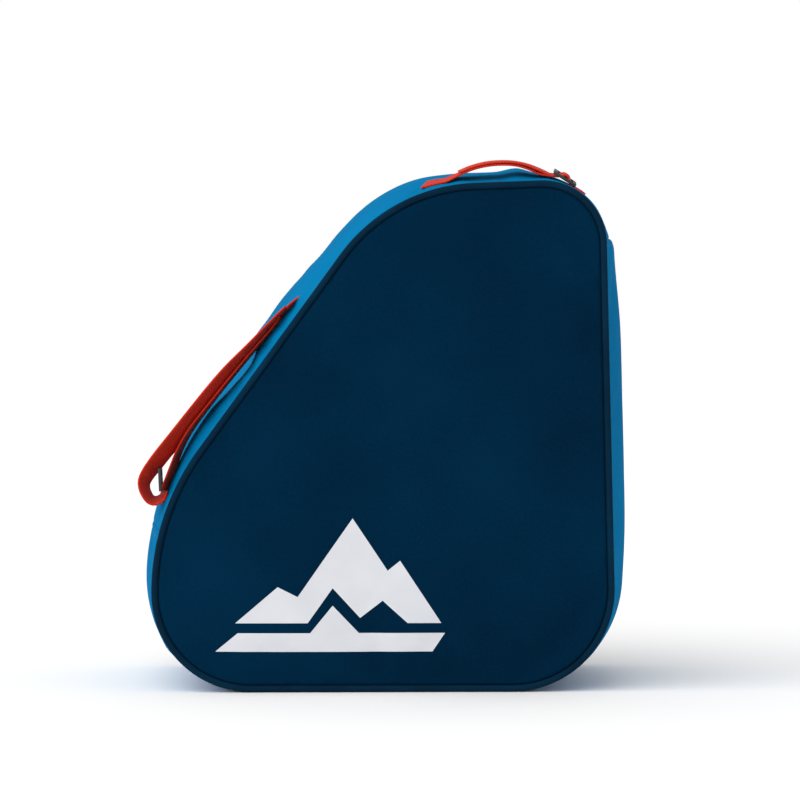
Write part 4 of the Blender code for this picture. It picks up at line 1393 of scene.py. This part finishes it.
def make_side_strap(looks):
    """The loop on the slanted side: one run of webbing out from its sewn end and one back to its adjuster."""
    foot = [(247.6, 2.6, 13.0, 1.0 * MM), (242.5, 0.2, 12.0, 3.0 * MM), (236.5, 2.2, 12.0, INNER_SHIFT / 2.0)]
    arc = [
        (66.0, 9.3, 12.0),
        (82.0, 11.3, 14.0),
        (104.0, 13.4, 20.0),
        (130.0, 16.2, 27.0),
        (157.0, 17.9, 29.0),
        (195.0, 19.4, 30.0),
        (222.0, 20.6, 29.0),
        (237.5, 20.2, 24.0),
        (244.5, 16.6, 18.0),
        (248.6, 10.0, 15.0),
        (249.2, 6.0, 14.0),
    ]
    sewn = resting([on_slope(down, 0.0).xz for down in (0.0375, 0.0420, 0.0480, 0.0540)], 1.3 * MM)
    outer = sewn + down_the_slope([(*place, 0.0) for place in arc] + foot)
    strap = make_webbing(
        "side_strap_outer_run", outer, looks, ["side_strap_outer", "side_strap_end"], slant=20.0 * MM
    )
    return_arc = [
        (86.0, 8.4, 6.0, INNER_SHIFT),
        (104.0, 10.3, 5.0, INNER_SHIFT),
        (130.0, 12.0, 5.0, INNER_SHIFT),
        (160.0, 13.2, 6.0, INNER_SHIFT),
        (185.0, 13.6, 8.0, INNER_SHIFT),
        (203.0, 11.4, 10.0, INNER_SHIFT),
        (217.0, 7.6, 12.0, 0.8 * INNER_SHIFT),
        (228.0, 4.6, 12.0, 0.6 * INNER_SHIFT),
        foot[-1],
    ]
    sewn = resting([on_slope(down, 0.0).xz for down in (0.0690, 0.0750)], 1.2 * MM)
    inner = [(*place, INNER_SHIFT) for place in sewn] + down_the_slope(return_arc)
    back = make_webbing("side_strap_inner_run", inner, looks, ["side_strap_inner"])
    for piece in (strap, back):
        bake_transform(piece)
    ends = (on_slope(0.2240, 0.0158), on_slope(0.2385, 0.0042))
    span = ends[1] - ends[0]
    make_adjuster(
        "side_strap_adjuster", (ends[0] + ends[1]) / 2.0, span.normalized(), span.length, looks, "side_strap"
    )


def make_base_board(looks):
    """A thin stiff board that keeps the bottom flat, with rounded corners and broken edges."""
    low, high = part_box("base_board")
    board = added_box(high - low, (low + high) / 2.0)
    for part in (*board.data.vertices, *board.data.edges, *board.data.polygons):
        part.select = False
    for edge in board.data.edges:
        first, last = (board.data.vertices[v].co.z for v in edge.vertices)
        edge.select = abs(first - last) > 0.5 * MM
    bpy.context.tool_settings.mesh_select_mode = (False, True, False)
    bpy.ops.object.mode_set(mode="EDIT")
    bpy.ops.mesh.bevel(offset=9.0 * MM, segments=6, profile=0.5, affect="EDGES")
    bpy.ops.object.mode_set(mode="OBJECT")
    rounded(board, 0.4 * MM)
    board.name = "base_board_sheet"
    smooth(board, 35.0)
    board.data.materials.append(looks["board"])
    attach(board, "shell")
    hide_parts("base_board")


def main():
    make_stage()
    looks = make_looks()
    front = make_panel("front_panel_cloth", -1.0, looks, ["front_panel"])
    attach(front, "shell")
    panel_tree = tree_of(front)
    make_print("print_range_ink", PRINT_RANGE, panel_tree, looks, "front_print_range")
    make_print("print_foothill_ink", PRINT_FOOTHILL, panel_tree, looks, "front_print_foothill")
    back = make_panel("back_panel_cloth", 1.0, looks, ["back_panel", "flap_panel"])
    bend_with_flap(back)
    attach(make_piping("front_piping_cord", -1.0, looks, ["front_piping"]), "shell")
    bend_with_flap(make_piping("back_piping_cord", 1.0, looks, ["back_piping", "flap_piping"]))
    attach(make_binding("front_binding_tape", -1.0, looks, ["front_seam_binding"]), "shell")
    bend_with_flap(make_binding("back_binding_tape", 1.0, looks, ["back_seam_binding", "flap_seam_binding"]))
    lower, front_strip, flap_strip = make_gussets(looks)
    make_gusset_stitches(lower, front_strip, flap_strip, looks)
    bend_with_flap(flap_strip)
    make_zip(looks)
    make_zip_tabs(lower, looks)
    for name in ("lower", "upper"):
        make_slider(name, looks)
        make_pull(name, looks)
    make_handle(looks)
    make_side_strap(looks)
    make_base_board(looks)
    bpy.context.view_layer.update()


main()
